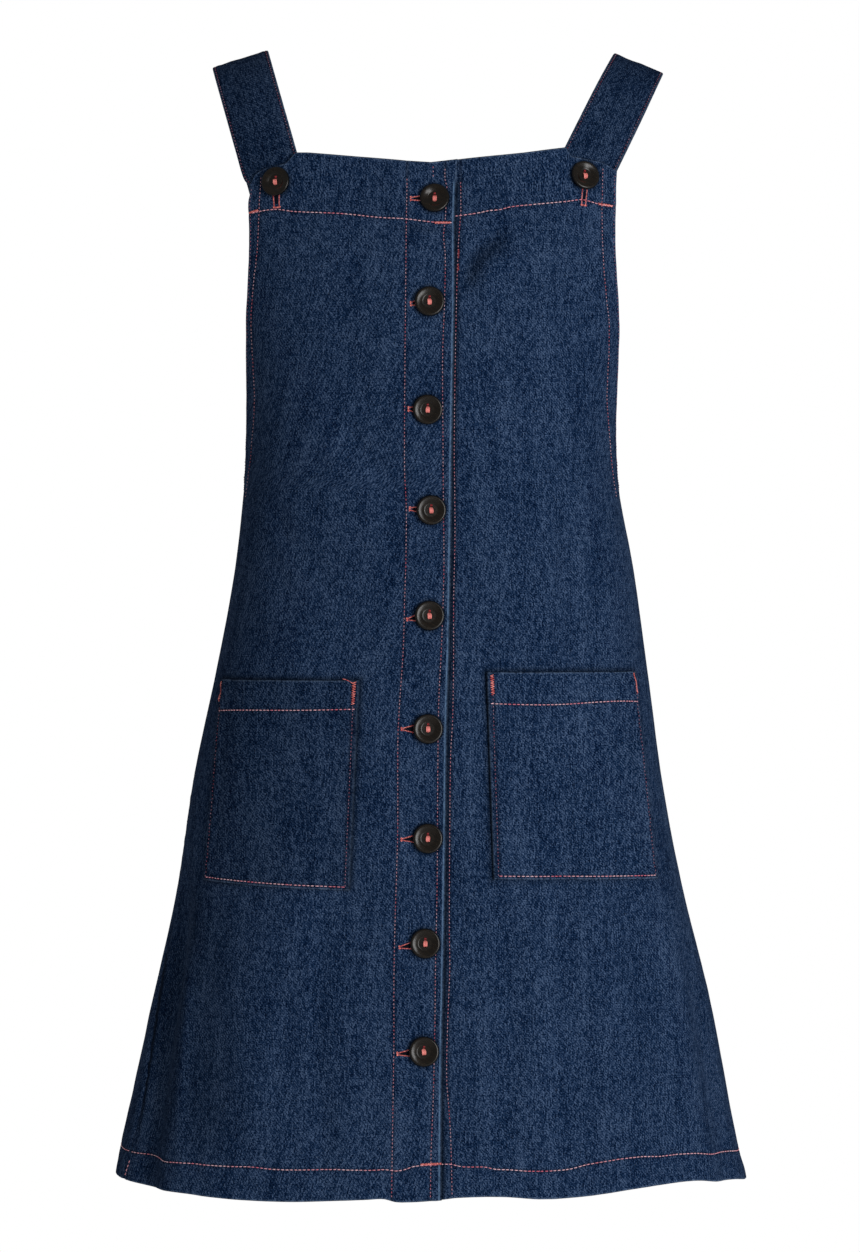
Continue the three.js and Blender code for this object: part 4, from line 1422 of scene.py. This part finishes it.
def pocket_runs(runs, place, panel):
    """The pocket's rows: down its sides, along its bottom and across its hem."""
    height = panel.levels[-1]
    wide = panel.coordinates["start"][0, -1]
    up = np.linspace(POCKET_BOTTOM_SEAM, height - 1, 60)
    topstitch(runs, panel, "start", POCKET_SIDE_SEAM + 0 * up, up, 41, DEEP)
    topstitch(runs, panel, "end", -POCKET_SIDE_SEAM + 0 * up, up, 42, DEEP)
    along = np.linspace(POCKET_SIDE_SEAM, wide - POCKET_SIDE_SEAM, 50)
    topstitch(runs, panel, "start", along, POCKET_BOTTOM_SEAM + 0 * along, 43, LYING)
    across = np.linspace(0.01, 0.99, 60)
    depth = pocket_hem(place, across)
    topstitch(runs, panel, "across", -place["side"] * across, height - depth, 44, LYING)


def loose_thread(sewing, panel):
    """A thread end left standing at the right pocket's bartack."""
    height = panel.levels[-1]
    start, normal = panel.at("end", -2.4, height - 2)
    for k in range(3):
        t = (np.linspace(0, 1, 5) + k)[:, None] / 3
        bend = np.array([-8.5, -1.6, 3.4]) * t + np.array([0, -0.9, 0.9]) * np.sin(t * 2.6)
        sewing.add([start + bend], [np.tile(normal, (5, 1))], 0.3)


def finish_sewing(name, runs, tight, slits, seed):
    """The pieces that a panel's sewing makes: rows, dense stitching and buttonhole cuts drawn dark as
    painted shade.
    """
    return [
        runs.make(f"topstitching_{name}", CORAL, seed),
        tight.make(f"bartacks_{name}", BRIGHT, seed + 10, bow=0.5),
        slits.make(f"buttonhole_cuts_{name}", SLIT, seed + 20, bow=0.1, flat=0.18),
    ]


def sew_back(panel):
    runs, tight = Sewing(), Sewing()
    angles = np.linspace(*panel.coordinates["angle"][HEM_STITCHES, [0, -1]], 400)[1:-1]
    topstitch(runs, panel, "angle", angles, hem_row(angles), 51, LYING)
    wide = panel.coordinates["start"][FACING_STITCHES, -1]
    across = np.linspace(1, wide - 1, 120)
    topstitch(runs, panel, "start", across, BACK_Z - BACK_FACING + 0 * across, 52, LYING)
    up = np.linspace(UNDERARM_Z - 6, BACK_Z - 2, 110)
    for coordinate, sign in (("start", 1), ("end", -1)):
        topstitch(runs, panel, coordinate, sign * ARMHOLE_HEM + 0 * up, up, 53)
        topstitch(runs, panel, coordinate, sign * 1.9 + 0 * up, up, 54)
        for inset in (14, 52):
            low, high = (sign * inset, BACK_Z - 31), (sign * inset, BACK_Z - 3)
            bartack(tight, panel, coordinate, low, high, 1.9, 0.7, 55)
    return [runs.make("topstitching_back", CORAL, 83), tight.make("bartacks_back", BRIGHT, 93)]


def sew_strap(name, outer, reverse, seed):
    runs = Sewing()
    inset = outer.coordinates["aside"][0, -1] - STRAP_SEAM
    along = np.linspace(3, outer.levels[-1] - 3, 140)
    for panel in (outer, reverse):
        for sign in (-1, 1):
            topstitch(runs, panel, "aside", sign * inset + 0 * along, along, seed, DEEP)
    return [runs.make(f"topstitching_{name}", CORAL, seed)]


# ---------------------------------------------------------------- buttons

# Half of a button's section, from the middle of its back round the rim to the middle of its dish.
BUTTON_PROFILE = table(
    "radius height",
    (0, 0), (7.6, 0), (9.4, 0.25), (10.6, 0.8), (11.15, 1.5), (11.25, 2.1),
    (11.05, 2.8), (10.6, 3.35), (9.9, 3.6), (9.1, 3.52), (8.1, 3.24), (7.1, 2.84),
    (6.2, 2.36), (5.6, 2.0), (5.2, 1.84), (4.8, 1.78), (4.2, 1.76), (0, 1.7),
)
DISH = 1.7
HOLE_APART = 2.1
HOLE_RADIUS = 1.05


def lathe(radii, heights, sides):
    """Points and faces of a closed turned form whose profile starts and ends on the axis."""
    around = np.arange(sides) / sides * math.tau
    rings = [
        np.stack([r * np.cos(around), r * np.sin(around), np.full(sides, h)], axis=1)
        for r, h in zip(radii[1:-1], heights[1:-1])
    ]
    points = np.concatenate([*rings, [[0, 0, heights[0]], [0, 0, heights[-1]]]])
    last = (len(rings) - 1) * sides
    faces = []
    for k in range(sides):
        following = (k + 1) % sides
        for ring in range(0, last, sides):
            faces.append((ring + k, ring + following, ring + sides + following, ring + sides + k))
        faces.append((len(points) - 2, following, k))
        faces.append((len(points) - 1, last + k, last + following))
    return points, faces


def button_mesh():
    """One button's mesh, turned and then drilled for the thread."""
    run = np.arange(len(BUTTON_PROFILE["radius"]), dtype=float)
    fine = np.linspace(0, run[-1], 3 * len(run) - 2)
    profile = {"run": run, **BUTTON_PROFILE}
    radii = np.clip(read(profile, "run", "radius", fine), 0, BUTTON_RADIUS)
    heights = np.clip(read(profile, "run", "height", fine), 0, BUTTON_HEIGHT)
    points, faces = lathe(radii, heights, 72)
    button = make_piece("turned", points, faces, HORN)
    for side in (-1, 1):
        points, faces = lathe(np.array([0, 1, 1, 0.0]) * HOLE_RADIUS, np.array([-2, -2, 6, 6.0]), 24)
        drill = make_piece("drill", points + np.array([0, side * HOLE_APART, 0]), faces, HORN)
        cut = button.modifiers.new("hole", "BOOLEAN")
        cut.operation = "DIFFERENCE"
        cut.solver = "EXACT"
        cut.object = drill
    bpy.context.view_layer.update()
    mesh = bpy.data.meshes.new_from_object(button.evaluated_get(bpy.context.evaluated_depsgraph_get()))
    for cut in list(button.modifiers):
        bpy.data.objects.remove(cut.object)
    bpy.data.objects.remove(button)
    layer = mesh.uv_layers.new(name="Cloth")
    for loop in mesh.loops:
        layer.data[loop.index].uv = mesh.vertices[loop.vertex_index].co.xy
    mesh.set_sharp_from_angle(angle=math.radians(50))
    return mesh


def button_frame(centre, normal, lean):
    """The button's own axes in the dress: columns across, up and out, and the middle of its back."""
    out = unit(normal + lean)
    across = unit(np.cross([0, 0, 1], out))
    axes = np.stack([across, np.cross(out, across), out], axis=1)
    return axes, centre - out * BUTTON_HEIGHT / 2


def sew_button_thread(thread, axes, back, random):
    """The thread through a button's holes: a full loop from the lower to the upper one, and a few strands
    that lie deeper above it, drawn darker as painted shade."""
    normals = np.tile(axes[:, 2], (5, 1))

    def strand(path, radius, shade, bright=1.0):
        """A strand over the dish of the button, by its points across, up and out."""
        points = (path + np.array([0, 0, DISH])) @ axes.T + back
        thread.add([points], [normals], radius, shade, bright)

    lean = random.normal(0, 0.25)
    for aside in (-1.1, -0.6, 0, 0.6, 1.1):
        low = (0.6 * aside, -2.7, -1.2), (aside, -2, 0.8), (1.05 * aside, -0.4, 1.4)
        high = (aside + lean, 1.1, 1.1), (0.6 * aside + lean, 2.4, -0.6)
        strand([*low, *high], 0.48, random.uniform(0.5, 1))
    for aside in (-0.4, 0.4):
        heights = (2.7, -0.3), (3.1, 0.3), (3.6, 0.5), (4.1, 0.4), (4.6, -0.2)
        strand([(aside, up, out) for up, out in heights], 0.4, 0, 0.4)


# How far some of the buttons lean: across, out and up. The others lean a little at random.
BUTTON_LEANS = {
    "button_1": (-0.04, 0, 0.02),
    "button_4": (0.05, 0, 0),
    "button_5": (0.05, 0, 0),
    "button_6": (0.05, 0, 0),
    "button_strap_left": (0, 0, 0.12),
}


def sew_buttons():
    """The buttons, each leaning its own way on its thread, and the thread through all of them."""
    mesh = button_mesh()
    thread = Sewing()
    random = np.random.default_rng(5)
    made = []
    for name, centre, normal in BUTTONS:
        lean = random.normal(0, 0.02, 3)
        axes, back = button_frame(centre, normal, np.array(BUTTON_LEANS.get(name, lean)))
        piece = bpy.data.objects.new(name + "_turned", mesh)
        bpy.context.scene.collection.objects.link(piece)
        piece.matrix_world = Matrix.Translation(back * MM) @ Matrix(axes.tolist()).to_4x4()
        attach(piece, "root")
        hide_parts(name)
        made.append(piece)
        sew_button_thread(thread, axes, back, random)
        shank = np.array([(0, 0, -2.2), (0, 0, -1.2), (0, 0, 0), (0, 0, 0.4), (0, 0, 0.8)])
        thread.add([shank @ axes.T + back], [np.tile(axes[:, 0], (5, 1))], 1.5, 0.2)
    made.append(thread.make("button_thread", BRIGHT, 95, bow=0.1))
    return made


# ---------------------------------------------------------------- the dress

front_right, right_panel = front_panel(-1)
front_left, left_panel = front_panel(1)
back, back_grid = back_panel()
(pocket_right, right_pocket_panel), (pocket_left, left_pocket_panel) = [pocket(row) for row in POCKETS]
(strap_right, *right_strap_faces), (strap_left, *left_strap_faces) = [strap(row) for row in STRAPS]

sewn_right = sew_front_right(right_panel, right_pocket_panel)
sewn_left = sew_front_left(left_panel, left_pocket_panel)
sewn_back = sew_back(back_grid)
sewn_strap_right = sew_strap("strap_right", *right_strap_faces, 84)
sewn_strap_left = sew_strap("strap_left", *left_strap_faces, 85)
sew_buttons()

# ---------------------------------------------------------------- camera, light and floor

FLOOR_Z = -1.36  # the wearer's floor, in metres
EYE = (-0.0008, -3.1, -0.4431)
SENSOR = 36
LENS = 114.27
ROOM_LIGHT = 0.29  # what the white room gives the dress; the camera sees it as plain white


def add_camera():
    camera = bpy.data.objects.new("camera", bpy.data.cameras.new("camera"))
    bpy.context.scene.collection.objects.link(camera)
    camera.location = EYE
    camera.rotation_euler = (math.radians(90), 0, 0)
    camera.data.sensor_width = SENSOR
    camera.data.lens = LENS
    camera.data.clip_end = 60
    bpy.context.scene.camera = camera


def add_softbox(name, place, aim, size, power):
    light = bpy.data.objects.new(name, bpy.data.lights.new(name, "AREA"))
    bpy.context.scene.collection.objects.link(light)
    light.data.shape = "RECTANGLE"
    light.data.size, light.data.size_y = size
    light.data.energy = power
    light.visible_camera = False
    light.location = place
    light.rotation_euler = (Vector(aim) - Vector(place)).to_track_quat("-Z", "Y").to_euler()


def add_floor():
    bpy.ops.mesh.primitive_plane_add(size=14, location=(0, 0, FLOOR_Z))
    floor = bpy.context.object
    floor.name = "floor"
    floor.data.materials.append(studio_white("floor_white", 0.8))
    floor.location.y = -5.2


def add_world():
    world = bpy.data.worlds.new("studio")
    world.use_nodes = True
    background = world.node_tree.nodes["Background"]
    background.inputs["Color"].default_value = (1, 1, 1, 1)
    seen = world.node_tree.nodes.new("ShaderNodeLightPath").outputs["Is Camera Ray"]
    strength = world.node_tree.nodes.new("ShaderNodeMath")
    strength.operation = "MULTIPLY_ADD"
    strength.inputs[1].default_value = 1 - ROOM_LIGHT
    strength.inputs[2].default_value = ROOM_LIGHT
    world.node_tree.links.new(seen, strength.inputs[0])
    world.node_tree.links.new(strength.outputs[0], background.inputs["Strength"])
    bpy.context.scene.world = world


add_camera()
add_softbox("key", (1.6, -2.7, -0.4), (0, 0, -0.45), (1.2, 1.8), 66)
add_softbox("behind", (0, 3.1, -0.2), (0, 0, -0.45), (1.2, 1.8), 60)
add_floor()
add_world()
bpy.context.scene.view_settings.view_transform = "Standard"
